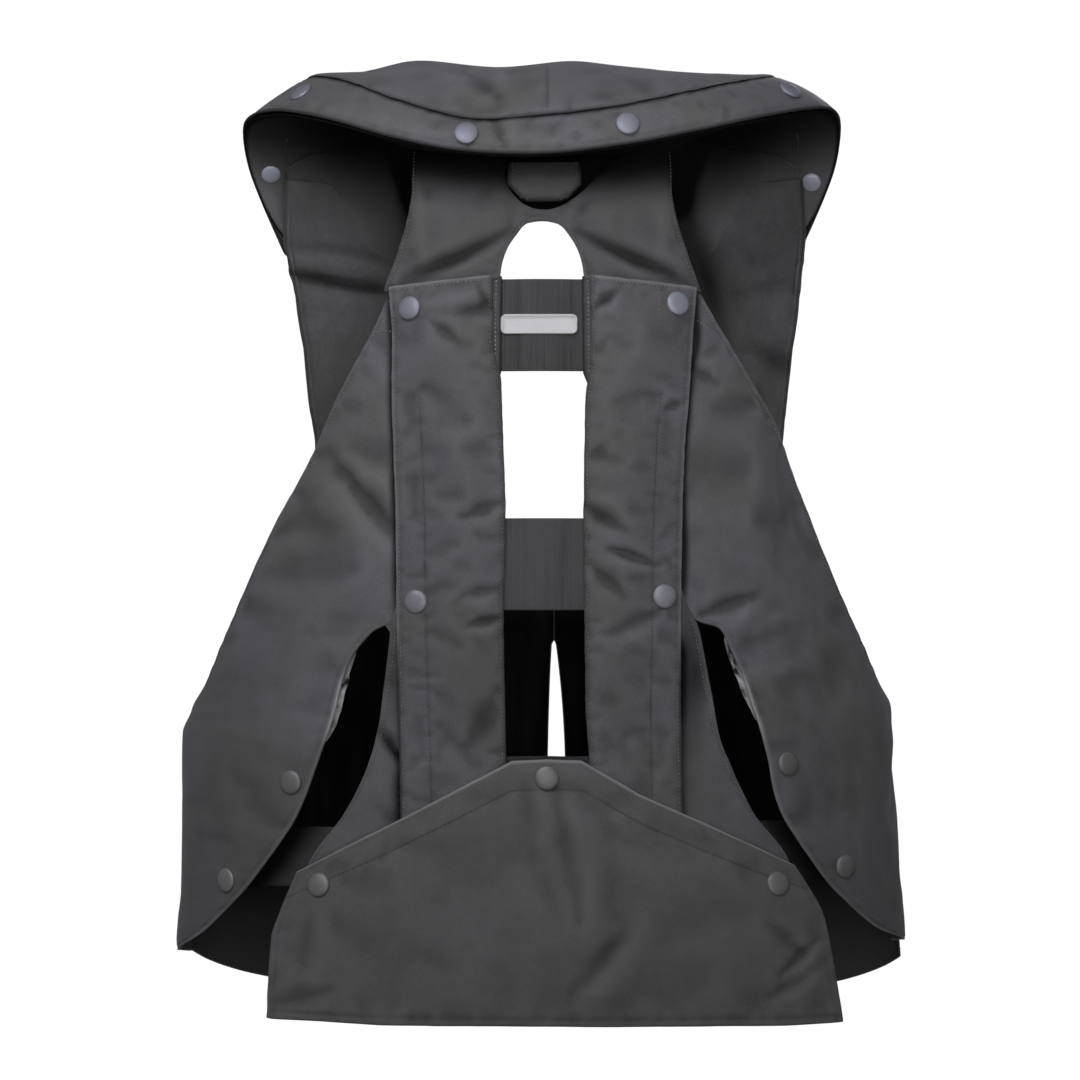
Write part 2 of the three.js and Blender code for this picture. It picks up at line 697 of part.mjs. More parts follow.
const baseLine = mirrored([
  { x: 0, y: -99, z: -9 },
  { x: 50, y: -95, z: -8 },
  { x: 90, y: -87, z: -2 },
  { x: 106, y: -62, z: 9.5 },
  { x: 120, y: -38, z: 12.5 },
  { x: 138, y: -8, z: 12.5 },
  { x: 160, y: 20, z: 12 },
  { x: 178, y: 49, z: -5 },
  { x: 172, y: 61, z: -43 },
  { x: 174, y: 57, z: -54 },
]);
const collarWall = 2.4;
const bandBulge = 4;
const topBulge = 5;
const seamGap = 0.06;
const baseDrop = 1.6;

function bulged(from, to, part, height, centre) {
  const spot = from.clone().lerp(to, part);
  const out = spot.clone().sub(centre).normalize();
  return spot.addScaledVector(out, height * 4 * part * (1 - part));
}

function pouchCentre(u) {
  return pointThrough(baseLine, u).lerp(pointThrough(ridgeLine, u), 0.35);
}

function topSurface(u, v) {
  const ridge = pointThrough(ridgeLine, u);
  if (v < 0.42) return bulged(pointThrough(neckLine, u), ridge, v / 0.42, topBulge * 0.5, pouchCentre(u));
  return bulged(ridge, pointThrough(seamLine, u), (v - 0.42) / 0.58, topBulge, pouchCentre(u));
}

function bandSurface(u, v) {
  const part = mix(seamGap, 1, v);
  return bulged(pointThrough(seamLine, u), pointThrough(rimLine, u), part, bandBulge, pouchCentre(u));
}

function baseSurface(u, v) {
  const along = Math.abs(2 * u - 1);
  const turned = ease((along - 0.55) / 0.25);
  const rim = pointThrough(rimLine, u);
  rim.y -= baseDrop * turned;
  rim.z -= baseDrop * (1 - turned);
  return rim.lerp(pointThrough(baseLine, u), mix(mix(0, 0.35, ease((along - 0.82) / 0.12)), 1, v));
}

vest.add(shell("collar_top", "nylon", 34, 7, topSurface, collarWall));
vest.add(shell("collar_band", "nylon", 36, 3, bandSurface, collarWall));
vest.add(shell("collar_base", "lining", 36, 2, baseSurface, collarWall));

// Press-stud caps, placed on the faces that carry them.
const collarSnaps = [
  { name: "snap_collar_back_left", on: "band", station: -1.02, down: 0.4 },
  { name: "snap_collar_back_right", on: "band", station: 1.12, down: 0.42 },
  { name: "snap_collar_shoulder_left", on: "band", station: -4.45, down: 0.36 },
  { name: "snap_collar_shoulder_right", on: "band", station: 4.5, down: 0.36 },
  { name: "snap_collar_front_left", on: "band", station: -7.1, down: 0.5 },
  { name: "snap_collar_front_right", on: "band", station: 7.2, down: 0.5, gap: 0.3 },
  { name: "snap_collar_inside_left", on: "base", station: -6.95, down: 0.22, gap: 2.25 },
  { name: "snap_collar_inside_right", on: "base", station: 7.05, down: 0.26, gap: 1.9 },
];
const caps = [
  { name: "snap_flap_left_upper", on: "flap", side: 0, x: -90, z: -117.5 },
  { name: "snap_flap_left_lower", on: "flap", side: 0, x: -84.5, z: -316 },
  { name: "snap_flap_right_upper", on: "flap", side: 1, x: 91, z: -113.5 },
  { name: "snap_flap_right_lower", on: "flap", side: 1, x: 82.8, z: -312 },
  { name: "snap_wing_left_upper", on: "wing", side: 0, x: -171, z: -438.5, gap: 0.5 },
  { name: "snap_wing_left_lower", on: "wing", side: 0, x: -218.5, z: -511 },
  { name: "snap_wing_right_upper", on: "wing", side: 1, x: 167, z: -426.5, gap: 0.5 },
  { name: "snap_wing_right_lower", on: "wing", side: 1, x: 209.5, z: -499.5 },
  { name: "snap_tail_middle", on: "tail", side: 1, x: 2.6, z: -433.5 },
  { name: "snap_tail_left", on: "tail", side: 0, x: -151, z: -507 },
  { name: "snap_tail_right", on: "tail", side: 1, x: 160, z: -507 },
];
const carriers = {
  flap: (side) => outerFace(flapSpot(side)),
  wing: (side) => outerFace(sideSpot(side)),
  tail: () => outerFace(tailSpot),
};

for (const cap of caps) {
  const surface = carriers[cap.on](sides[cap.side]);
  const spot = locate(surface, cap.x, cap.z);
  const point = surface(spot.u, spot.v);
  const outward = new THREE.Vector3(point.x * 0.2, point.y, 0);
  const facing = Math.sign(normalOf(surface, spot.u, spot.v).dot(outward));
  vest.add(snap(cap.name, surface, spot.u, spot.v, facing, cap.gap ?? snapGap));
}

const collarStations = (rimLine.length - 1) / 2;
for (const cap of collarSnaps) {
  const surface = cap.on === "band" ? bandSurface : baseSurface;
  const u = 0.5 + (0.5 * cap.station) / collarStations;
  const outward = surface(u, cap.down).sub(pouchCentre(u));
  const facing = Math.sign(normalOf(surface, u, cap.down).dot(outward));
  vest.add(snap(cap.name, surface, u, cap.down, facing, collarWall + (cap.gap ?? snapGap)));
}

export default vest;
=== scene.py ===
import math
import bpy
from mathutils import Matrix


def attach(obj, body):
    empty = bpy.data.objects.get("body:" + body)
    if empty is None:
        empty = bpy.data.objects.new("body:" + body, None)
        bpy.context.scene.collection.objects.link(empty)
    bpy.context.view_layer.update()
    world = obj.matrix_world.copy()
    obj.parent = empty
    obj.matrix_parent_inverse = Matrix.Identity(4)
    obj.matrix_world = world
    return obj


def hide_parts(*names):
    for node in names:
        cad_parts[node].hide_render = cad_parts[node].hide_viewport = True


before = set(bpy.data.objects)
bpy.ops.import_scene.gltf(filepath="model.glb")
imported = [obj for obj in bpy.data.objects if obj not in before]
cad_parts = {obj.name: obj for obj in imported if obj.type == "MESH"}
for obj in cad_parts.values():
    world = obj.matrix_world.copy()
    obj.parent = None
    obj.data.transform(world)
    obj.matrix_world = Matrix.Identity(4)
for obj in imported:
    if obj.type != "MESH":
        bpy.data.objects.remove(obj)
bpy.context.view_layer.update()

from types import SimpleNamespace

import bpy
import numpy as np

mm = 0.001
stitchLines = []  # each sewn row's points, the way out of the cloth and its tone
overFaces = {}  # each panel's outer face and the way out of it


# Rows of a table with named columns.
def tableOf(columns, *rows):
    return [dict(zip(columns.split(), row)) for row in rows]


foldColumns = "x z toX toZ wide high lip"

# The wearer's outline in millimetres, as the part has it; the back faces -Y.
bodyForm = tableOf(
    "z half back front",
    (40, 205, 50, 28), (0, 205, 84, 62), (-50, 203, 107, 89), (-100, 200, 116, 102),
    (-210, 202, 120, 114), (-315, 230, 121, 118), (-400, 253, 122, 120), (-460, 256, 124, 121),
    (-530, 260, 126, 122), (-625, 267, 130, 122))
# How far the left side stands out beyond the right one.
leftOut = tableOf(
    "z out",
    (40, 0), (-210, 0), (-315, 0.5), (-362, -0.6), (-382, -1), (-398, 0.8), (-414, 5.4), (-460, 4),
    (-530, 1), (-625, 0))


def mix(start, end, part):
    return start + (end - start) * part


def ease(value):
    part = np.clip(value, 0, 1)
    return part * part * (3 - 2 * part)


def bell(value):
    return np.exp(-value * value)


# Smooth curve through a table read by one of its columns; it never swings past a row.
def along(rows, key, column, at):
    rows = sorted(rows, key=lambda row: row[key])
    keys = np.array([row[key] for row in rows], float)
    values = np.array([row[column] for row in rows], float)
    slope = np.diff(values) / np.diff(keys)
    product = slope[:-1] * slope[1:]
    total = slope[:-1] + slope[1:]
    inside = np.where(product > 0, 2 * product / np.where(total == 0, 1, total), 0)
    tangent = np.concatenate([slope[:1], inside, slope[-1:]])
    at = np.clip(np.asarray(at, float), keys[0], keys[-1])
    i = np.clip(np.searchsorted(keys, at, side="right") - 1, 0, len(keys) - 2)
    span = keys[i + 1] - keys[i]
    t = (at - keys[i]) / span
    rise = values[i + 1] - values[i]
    bend = t * (1 - t) * ((1 - t) * (tangent[i] * span - rise) - t * (tangent[i + 1] * span - rise))
    return values[i] + rise * t + bend


# Smooth curve through evenly spaced values, read at places counted from the first one.
def smoothAt(values, at):
    i = np.minimum(np.floor(at).astype(int), len(values) - 2)
    f = (at - i).reshape(at.shape + (1,) * (values.ndim - 1))
    values = np.concatenate([2 * values[:1] - values[1:2], values, 2 * values[-1:] - values[-2:-1]])
    p0, p1, p2, p3 = values[i], values[i + 1], values[i + 2], values[i + 3]
    cubic = (3 * p1 - p0 - 3 * p2 + p3) * f
    return p1 + 0.5 * f * (p2 - p0 + f * (2 * p0 - 5 * p1 + 4 * p2 - p3 + cubic))


# Smooth curve through the rows of a table in their order, from 0 to 1.
def through(rows, column, part):
    values = np.array([row[column] for row in rows], float)
    return smoothAt(values, np.clip(np.asarray(part, float), 0, 1) * (len(rows) - 1))


def between(rows, column, part):
    return np.interp(part, np.linspace(0, 1, len(rows)), [row[column] for row in rows])


def pointThrough(rows, part):
    return np.stack([through(rows, axis, part) for axis in "xyz"], axis=-1)


def mirrored(rows):
    other = [dict(row, x=-row["x"]) for row in rows[:0:-1]]
    own = [dict(row, z=row["z"] + row.get("rise", 0)) for row in rows]
    return other + own


def onForm(turn, z, lift):
    angle = np.radians(turn)
    half = along(bodyForm, "z", "half", z)
    depth = np.where(np.cos(angle) >= 0, along(bodyForm, "z", "back", z), along(bodyForm, "z", "front", z))
    across, deep = np.sin(angle) / half, -np.cos(angle) / depth
    size = np.hypot(across, deep)
    lean = np.maximum(-np.sin(angle), 0) ** 3
    x = half * np.sin(angle) - along(leftOut, "z", "out", z) * lean + lift * across / size
    y = -depth * np.cos(angle) + lift * deep / size
    return np.stack([x, y, z + 0 * x], axis=-1)


def turnAt(x, z):
    return np.degrees(np.arcsin(np.clip(x / along(bodyForm, "z", "half", z), -1, 1)))


def sideways(turn, z):
    return along(bodyForm, "z", "half", z) * np.sin(np.radians(turn))


def gridOf(across, down):
    return np.meshgrid(np.linspace(0, 1, across + 1), np.linspace(0, 1, down + 1))


def softNoise(x, y, seed):
    size = 64
    table = np.random.default_rng(seed).uniform(-1, 1, (size, size))
    i, j = np.floor(x).astype(int), np.floor(y).astype(int)
    f, g = x - i, y - j
    f, g = f * f * f * (f * (6 * f - 15) + 10), g * g * g * (g * (6 * g - 15) + 10)
    a, b = table[i % size, j % size], table[(i + 1) % size, j % size]
    c, d = table[i % size, (j + 1) % size], table[(i + 1) % size, (j + 1) % size]
    return mix(mix(a, b, f), mix(c, d, f), g)


def rumple(x, y, size, seed):
    first = softNoise(x / size, y / size, seed)
    second = softNoise(2.1 * x / size + 7, 2.1 * y / size + 3, seed + 1)
    third = softNoise(4.3 * x / size + 1, 4.3 * y / size + 9, seed + 2)
    return first + 0.5 * second + 0.22 * third


# Sharp-crested crinkles that wander over the cloth.
def crinkle(x, y, size, seed):
    bentX = x + size * 0.6 * softNoise(x / size / 1.7, y / size / 1.7, seed + 5)
    bentY = y + size * 0.6 * softNoise(x / size / 1.7 + 31, y / size / 1.7 + 11, seed + 6)
    return (1 - np.abs(softNoise(bentX / size, bentY / size, seed))) ** 3


# Creases of a table: a valley or ridge along each line, with a lip on its left hand.
def foldField(folds, at):
    x, z = at.x, at.z
    height = np.zeros_like(x)
    for fold in folds:
        dx, dz = fold["toX"] - fold["x"], fold["toZ"] - fold["z"]
        length = math.hypot(dx, dz)
        part = ((x - fold["x"]) * dx + (z - fold["z"]) * dz) / length ** 2
        near = np.clip(part, 0, 1)
        over = (part - near) * length / fold["wide"]
        off = ((z - fold["z"]) * dx - (x - fold["x"]) * dz) / length
        off = off / fold["wide"] / (0.55 + 0.45 * np.sin(np.pi * np.clip(near, 0.08, 0.92)))
        strength = (0.45 + 0.55 * np.sin(np.pi * near)) * bell(over)
        height += strength * (fold["high"] * bell(off) + fold.get("lip", 0) * bell((off - 1.7) / 1.3))
    return height


def unit(vectors):
    return vectors / np.maximum(np.linalg.norm(vectors, axis=-1, keepdims=True), 1e-9)


# Normals of a grid, on the side that a field of vectors points to.
def normalsOf(points, toward):
    alongV, alongU = np.gradient(points, axis=0), np.gradient(points, axis=1)
    out = unit(np.cross(alongU, alongV))
    return -out if np.sum(out * toward) < 0 else out


def blurred(field, times):
    for step in range(times):
        padded = np.pad(field, 1, mode="edge")
        field = (padded[:-2, 1:-1] + padded[2:, 1:-1] + padded[1:-1, :-2] + padded[1:-1, 2:]) / 4
    return field


def lengthAlong(points, axis):
    steps = np.diff(points, axis=axis, prepend=points.take([0], axis=axis))
    return np.cumsum(np.linalg.norm(steps, axis=-1), axis=axis)


# Where each place of a grid lies: its x, y and z and how far it is from the four edges.
def layout(points, u, v):
    left, top = lengthAlong(points, 1), lengthAlong(points, 0)
    return SimpleNamespace(
        u=u, v=v, x=points[..., 0], y=points[..., 1], z=points[..., 2],
        left=left, right=left[:, -1:] - left, top=top, bottom=top[-1:] - top)


seamGiven = dict(fade=0.02, depth=0.4, groove=1.3, pucker=6, pitch=5.5, drift=30, share=0.8)


# Sewn rows press a groove into the cloth and pucker it beside them.
def sewnHeight(at, seams, seed):
    height = np.zeros_like(at.x)
    for number, seam in enumerate(seams):
        away = getattr(at, seam["edge"]) - seam["offset"]
        run, part = (at.top, at.v) if seam["edge"] in ("left", "right") else (at.left, at.u)
        begun = ease((part - seam.get("start", 0)) / seamGiven["fade"] + 0.5)
        held = begun * ease((seam.get("end", 1) - part) / seamGiven["fade"] + 0.5)
        depth = seam.get("depth", seamGiven["depth"])
        pucker = softNoise(run / seamGiven["pitch"], away / seamGiven["drift"], seed + number)
        pucker = seamGiven["share"] * depth * pucker * bell(away / seamGiven["pucker"])
        height += held * (-depth * bell(away / seamGiven["groove"]) + pucker)
    return height


# Follows a seam over a face at its distance from the edge, for the stitches.
def traceSeam(over, normal, seam):
    turned = dict(
        left=lambda grid: grid, right=lambda grid: grid[:, ::-1],
        top=lambda grid: grid.transpose(1, 0, 2), bottom=lambda grid: grid[::-1].transpose(1, 0, 2))
    rows, outs = [turned[seam["edge"]](grid) for grid in (over, normal)]
    reach = lengthAlong(rows, 1)
    first, last = [int(seam.get(end, full) * (len(rows) - 1)) for end, full in (("start", 0), ("end", 1))]
    line, out = [], []
    for row in range(first, last + 1):
        if reach[row, -1] < seam["offset"]:
            continue
        k = min(max(int(np.searchsorted(reach[row], seam["offset"])), 1), rows.shape[1] - 1)
        part = (seam["offset"] - reach[row, k - 1]) / max(reach[row, k] - reach[row, k - 1], 1e-9)
        line.append(mix(rows[row, k - 1], rows[row, k], part))
        out.append(outs[row, k])
    if len(line) > 2:
        stitchLines.append((np.array(line), np.array(out), seam.get("tone", 0.6)))


def gridQuads(rows, columns):
    index = np.arange(rows * columns).reshape(rows, columns)
    corners = [index[:-1, :-1], index[:-1, 1:], index[1:, 1:], index[1:, :-1]]
    return index, np.stack(corners, axis=-1).reshape(-1, 4)


# A closed cloth wall from two grids, its rim rounded over; the second material lies inside.
def wallPiece(name, over, under, cloth, lining, edgeMark, underMark, creaseMark, uv):
    index, faces = gridQuads(*over.shape[:2])
    count = index.size
    rim = np.concatenate([index[0, :-1], index[:-1, -1], index[-1, :0:-1], index[:0:-1, 0]])
    inward = np.concatenate([index[1, :-1], index[:-1, -2], index[-2, :0:-1], index[:0:-1, 1]])
    flatOver, flatUnder = over.reshape(-1, 3), under.reshape(-1, 3)
    middle = (flatOver[rim] + flatUnder[rim]) / 2
    half = (flatOver[rim] - flatUnder[rim]) / 2
    away = flatOver[rim] - flatOver[inward]
    away = away + np.roll(away, 1, axis=0) + np.roll(away, -1, axis=0)
    facing = unit(half)
    away -= facing * np.sum(away * facing, axis=1, keepdims=True)
    away = unit(away)
    radius = np.linalg.norm(half, axis=1, keepdims=True)
    angles = (math.pi / 4, math.pi / 2, 3 * math.pi / 4)
    rings = [middle + half * math.cos(angle) + away * radius * math.sin(angle) for angle in angles]
    points = np.concatenate([flatOver, flatUnder, *rings])
    ringLoops = [2 * count + k * len(rim) + np.arange(len(rim)) for k in range(len(rings))]
    loops = [rim] + ringLoops + [count + rim]
    quads = [faces, count + faces[:, [0, 3, 2, 1]]]
    for near, far in zip(loops[:-1], loops[1:]):
        quads.append(np.stack([np.roll(near, -1), near, far, np.roll(far, -1)], 1))
    slots = np.concatenate([np.full(len(part), 1 if k == 1 else 0) for k, part in enumerate(quads)])
    quads = np.concatenate(quads)
    alongV, alongU = over[1:, :-1] - over[:-1, :-1], over[:-1, 1:] - over[:-1, :-1]
    if np.sum(np.cross(alongV, alongU) * (under - over)[:-1, :-1]) < 0:
        quads = quads[:, ::-1]

    def onAll(first, second):
        return np.concatenate([first, second] + [first[rim]] * len(rings))

    uvs = onAll(uv.reshape(-1, 2), uv.reshape(-1, 2))
    edges = onAll(edgeMark.ravel(), underMark.ravel())
    creases = onAll(creaseMark.ravel(), -creaseMark.ravel())
    return meshPiece(name, points, quads, [cloth, lining], slots, uvs, dict(edge=edges, crease=creases))


def placed(name, data):
    piece = bpy.data.objects.new(name, data)
    bpy.context.scene.collection.objects.link(piece)
    return piece


def addMarks(mesh, marks):
    for key, values in marks.items():
        mesh.attributes.new(key, "FLOAT", "POINT").data.foreach_set("value", values.astype(np.float32))


def meshPiece(name, points, quads, looks, slots=None, uvs=None, marks=None):
    mesh = bpy.data.meshes.new(name)
    mesh.vertices.add(len(points))
    mesh.vertices.foreach_set("co", (points * mm).astype(np.float32).ravel())
    mesh.loops.add(quads.size)
    mesh.loops.foreach_set("vertex_index", quads.astype(np.int32).ravel())
    mesh.polygons.add(len(quads))
    mesh.polygons.foreach_set("loop_start", np.arange(0, quads.size, quads.shape[1], dtype=np.int32))
    mesh.polygons.foreach_set("use_smooth", np.ones(len(quads), bool))
    for look in looks:
        mesh.materials.append(look)
    if slots is not None:
        mesh.polygons.foreach_set("material_index", slots.astype(np.int32))
    if uvs is not None:
        layer = mesh.uv_layers.new(name="cut")
        layer.data.foreach_set("uv", (uvs[quads.ravel()] * mm).astype(np.float32).ravel())
    addMarks(mesh, marks or {})
    mesh.update(calc_edges=True)
    mesh.validate()
    return placed(name, mesh)


def regrid(field, rows, columns):
    for count in (rows, columns):
        field = smoothAt(field, np.linspace(0, len(field) - 1, count)).swapaxes(0, 1)
    return field


# Evens out the inside of a flat grid between its fixed edges, so no cell folds over another.
def evened(grid, times):
    for step in range(times):
        east, west, north, south = grid[1:-1, 2:], grid[1:-1, :-2], grid[2:, 1:-1], grid[:-2, 1:-1]
        across, down = (east - west) / 2, (north - south) / 2
        twist = grid[2:, 2:] - grid[2:, :-2] - grid[:-2, 2:] + grid[:-2, :-2]
        a = np.sum(down * down, axis=-1, keepdims=True)
        b = np.sum(across * down, axis=-1, keepdims=True)
        c = np.sum(across * across, axis=-1, keepdims=True)
        grid[1:-1, 1:-1] = (a * (east + west) + c * (north + south) - b * twist / 2) / (2 * (a + c))
    return grid


clothSteps = 16
holdGiven = dict(edge=4, seam=2.5, grip=0.9)  # how wide edges and seams are held, and how firmly seams are
creaseGiven = dict(blur=14, high=0.7)  # what a crease is told apart by
clothRules = dict(
    quality=6, mass=0.12, tension_stiffness=40, compression_stiffness=40, shear_stiffness=12, air_damping=3,
    vertex_group_mass="held", use_pressure=True)


# Lets Blender's cloth crumple a panel: it has a little more cloth than its sewn edges have room for.
def simulated(points, held, sim):
    lengths = [np.linalg.norm(np.diff(points, axis=axis), axis=-1).sum(axis=axis).max() for axis in (0, 1)]
    rows, columns = [max(int(length / sim["pitch"]), 6) + 1 for length in lengths]
    coarse = regrid(points, rows, columns)
    pins = np.clip(regrid(held, rows, columns), 0, 1).ravel()
    mesh = bpy.data.meshes.new("drape")
    mesh.from_pydata((coarse.reshape(-1, 3) * mm).tolist(), [], gridQuads(rows, columns)[1].tolist())
    piece = placed("drape", mesh)
    group = piece.vertex_groups.new(name="held")
    for k, weight in enumerate(pins):
        if weight > 0.02:
            group.add([k], float(weight), "REPLACE")
    cloth = piece.modifiers.new("drape", "CLOTH")
    for key, value in clothRules.items():
        setattr(cloth.settings, key, value)
    cloth.settings.bending_stiffness = sim["stiff"]
    cloth.settings.shrink_min = -sim["spare"]
    cloth.settings.uniform_pressure_force = sim.get("push", 0)
    cloth.settings.effector_weights.gravity = 0
    cloth.collision_settings.use_collision = False
    scene = bpy.context.scene
    for step in range(1, clothSteps + 1):
        scene.frame_set(step)
    made = piece.evaluated_get(bpy.context.evaluated_depsgraph_get()).data
    moved = np.empty(rows * columns * 3, np.float32)
    made.vertices.foreach_get("co", moved)
    bpy.data.objects.remove(piece)
    bpy.data.meshes.remove(mesh)
    scene.frame_set(1)
    shift = moved.reshape(rows, columns, 3).astype(float) / mm - coarse
    far = np.maximum(np.linalg.norm(shift, axis=-1, keepdims=True), 1e-9)
    shift *= np.minimum(sim["most"] / far, 1)
    print("  crumpled", rows, "x", columns, "by up to", round(float(far.max()), 2))
    return points + regrid(shift, points.shape[0], points.shape[1])


def heldPlaces(at, given):
    held = np.zeros_like(at.x)
    for edge in given["sim"]["edges"]:
        held = np.maximum(held, bell(getattr(at, edge) / holdGiven["edge"]))
    for seam in given.get("seams", []):
        away = bell((getattr(at, seam["edge"]) - seam["offset"]) / holdGiven["seam"])
        part = at.v if seam["edge"] in ("left", "right") else at.u
        sewn = (part >= seam.get("start", 0)) * (part <= seam.get("end", 1))
        held = np.maximum(held, holdGiven["grip"] * away * sewn)
    return held


# Lays the crumpled cloth, its sewn rows and its thickness on a smooth shape.
def laid(given, base, out, at, relief, outer, inner):
    first = base + out * (outer + relief)[..., None]
    if given.get("sim"):
        first = simulated(first, heldPlaces(at, given), given["sim"])
    facing = normalsOf(first, out)
    sewn = sewnHeight(at, given.get("seams", []), given.get("seed", 1))
    over = first + facing * sewn[..., None]
    under = over - facing * (outer - inner)
    height = np.sum((over - base) * out, axis=-1)
    return over, under, height


# Finishes a panel: marks (above 0 painted highlight, below 0 painted shade), mesh and seams.
def panelPiece(name, given, flat, over, under, at, height, look):
    normal = normalsOf(over, over - under)
    edgeMark = np.zeros_like(at.x)
    for key, tone in given.get("edges", {}).items():
        tone = tone(at) if callable(tone) else tone
        edgeMark = edgeMark + tone * bell(getattr(at, key) / given.get("edgeWide", 1.2))
    shadow = given.get("shadow", lambda at: 0)
    overMark = np.clip(edgeMark + shadow(at), -1, 1)
    underMark = np.clip(edgeMark + given.get("inside", shadow)(at), -1, 1)
    # Crease mark from the height above a blurred copy: painted shade in valleys and painted highlight on
    # ridges.
    creaseMark = (height - blurred(height, creaseGiven["blur"])) / creaseGiven["high"]
    creaseMark = creaseMark + given.get("stripes", lambda at: 0)(at)
    creaseMark = np.clip(creaseMark, -1, 1)
    uv = np.stack([at.left - at.left.max() / 2, at.top], axis=-1)
    piece = wallPiece(name, over, under, look["cloth"], look["lining"], overMark, underMark, creaseMark, uv)
    for seam in given.get("seams", []):
        if not seam.get("plain"):
            face, out = (under, -normal) if seam.get("inside") else (over, normal)
            traceSeam(face, out, seam)
    overFaces[name] = (over, normal)
    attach(piece, "root")
    if given["nodes"]:
        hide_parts(*given["nodes"])
    corners = np.cross(flat[1:, 1:] - flat[:-1, :-1], flat[:-1, 1:] - flat[1:, :-1])
    area = 0.5 * np.linalg.norm(corners, axis=-1).sum() * mm * mm
    wide, tall = given.get("flat", (at.left.max() * mm, at.top.max() * mm))
    if given.get("fill") is not None:
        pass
    else:
        min(area, wide * tall)
    print(name, "flat", round(wide, 3), round(tall, 3), "area", round(area, 4))


def formPanel(name, given, spot, relief, look):
    u, v = gridOf(given["across"], given["down"])
    turn, z, lift = spot(u, v)
    base = onForm(turn, z, lift)
    out = onForm(turn, z, lift + 1) - base
    at = layout(base, u, v)
    over, under, height = laid(given, base, out, at, relief(at), given.get("thick", 2), 0)
    panelPiece(name, given, base, over, under, at, height, look)


def freePanel(name, given, surface, centre, relief, look):
    u, v = gridOf(given["across"], given["down"])
    base = surface(u, v)
    out = normalsOf(base, base - centre(u))
    at = layout(base, u, v)
    over, under, height = laid(given, base, out, at, relief(at), given["outer"], given["inner"])
    panelPiece(name, given, base, over, under, at, height, look)


# Shader maths as Python expressions.
class Wire:
    def __init__(self, book, socket):
        self.book = book
        self.socket = socket

    def __add__(self, other):
        return self.book.maths("ADD", self, other)

    def __radd__(self, other):
        return self.book.maths("ADD", other, self)

    def __sub__(self, other):
        return self.book.maths("SUBTRACT", self, other)

    def __rsub__(self, other):
        return self.book.maths("SUBTRACT", other, self)

    def __mul__(self, other):
        return self.book.maths("MULTIPLY", self, other)

    def __rmul__(self, other):
        return self.book.maths("MULTIPLY", other, self)


class NodeBook:
    def __init__(self, tree):
        self.tree = tree

    def plug(self, socket, value):
        if isinstance(value, Wire):
            self.tree.links.new(value.socket, socket)
        else:
            socket.default_value = value

    def add(self, kind, settings=None, sockets=None, out=0):
        node = self.tree.nodes.new(kind)
        for key, value in (settings or {}).items():
            setattr(node, key, value)
        for key, value in (sockets or {}).items():
            self.plug(node.inputs[key], value)
        return Wire(self, node.outputs[out]) if len(node.outputs) else node

    def maths(self, operation, *values):
        return self.add("ShaderNodeMath", dict(operation=operation), dict(enumerate(values)))

    def blend(self, part, first, second):
        settings = dict(data_type="RGBA", blend_type="MIX", clamp_factor=True)
        return self.add("ShaderNodeMix", settings, {0: part, 6: first, 7: second}, 2)

    def noise(self, where, scale, detail):
        return self.add("ShaderNodeTexNoise", None, dict(Vector=where, Scale=scale, Detail=detail))

    def span(self, value, low, high, newLow, newHigh):
        return self.add("ShaderNodeMapRange", None, {0: value, 1: low, 2: high, 3: newLow, 4: newHigh})

    def place(self):
        return self.add("ShaderNodeTexCoord", None, None, 3)

    def mark(self, name):
        return self.add("ShaderNodeAttribute", dict(attribute_name=name), None, 2)

    def axis(self, vector, number):
        return self.add("ShaderNodeSeparateXYZ", None, {0: vector}, number)

    def scaled(self, colour, level):
        return self.add("ShaderNodeVectorMath", dict(operation="SCALE"), {0: colour, "Scale": level})

    def bump(self, strength, distance, height):
        return self.add("ShaderNodeBump", None, dict(Strength=strength, Distance=distance, Height=height))

    def named(self, name, kind):
        return self.add("GeometryNodeInputNamedAttribute", dict(data_type=kind), {"Name": name})

    def repeated(self, points, shape, turn, size):
        return self.add("GeometryNodeInstanceOnPoints", None, {
            "Points": points, "Instance": shape, "Rotation": turn, "Scale": size})

    def faced(self):
        outward = self.named("out", "FLOAT_VECTOR")
        return self.add("FunctionNodeAlignRotationToVector", dict(axis="Z"), {"Vector": outward})


def newLook(name):
    look = bpy.data.materials.new(name)
    look.use_nodes = True
    look.node_tree.nodes.clear()
    return look, NodeBook(look.node_tree)


# hidden is the share of a flat black shader mixed in: painted shade.
def closeLook(book, sockets, hidden=None):
    shader = book.add("ShaderNodeBsdfPrincipled", None, sockets)
    if hidden is not None:
        dull = {"Base Color": shade(0.003), "Roughness": 1, "Specular IOR Level": 0}
        dark = book.add("ShaderNodeBsdfPrincipled", None, dull)
        shader = book.add("ShaderNodeMixShader", None, {0: hidden, 1: shader, 2: dark})
    book.add("ShaderNodeOutputMaterial", None, {0: shader})


def shade(value, red=1.0, green=1.0, blue=1.0):
    return (value * red, value * green, value * blue, 1)


# Painted shade on inside faces low in the vest, with lighter streaks in it, and painted light towards the
# hem.
def deepened(book, place, colour, given):
    height = book.axis(place, 2)
    drawn = book.add("ShaderNodeVectorMath", dict(operation="MULTIPLY"), {0: place, 1: (1, 1, 0.12)})
    streak = book.span(book.noise(drawn, 45, 2), 0.45, 0.75, 0, 1)
    dim = book.blend(streak, given["dark"], given["streak"])
    dim = book.blend(book.span(height, *given["foot"], 1, 0), dim, given["hem"])
    return book.blend(book.span(height, *given["top"], 1, 0), colour, dim)
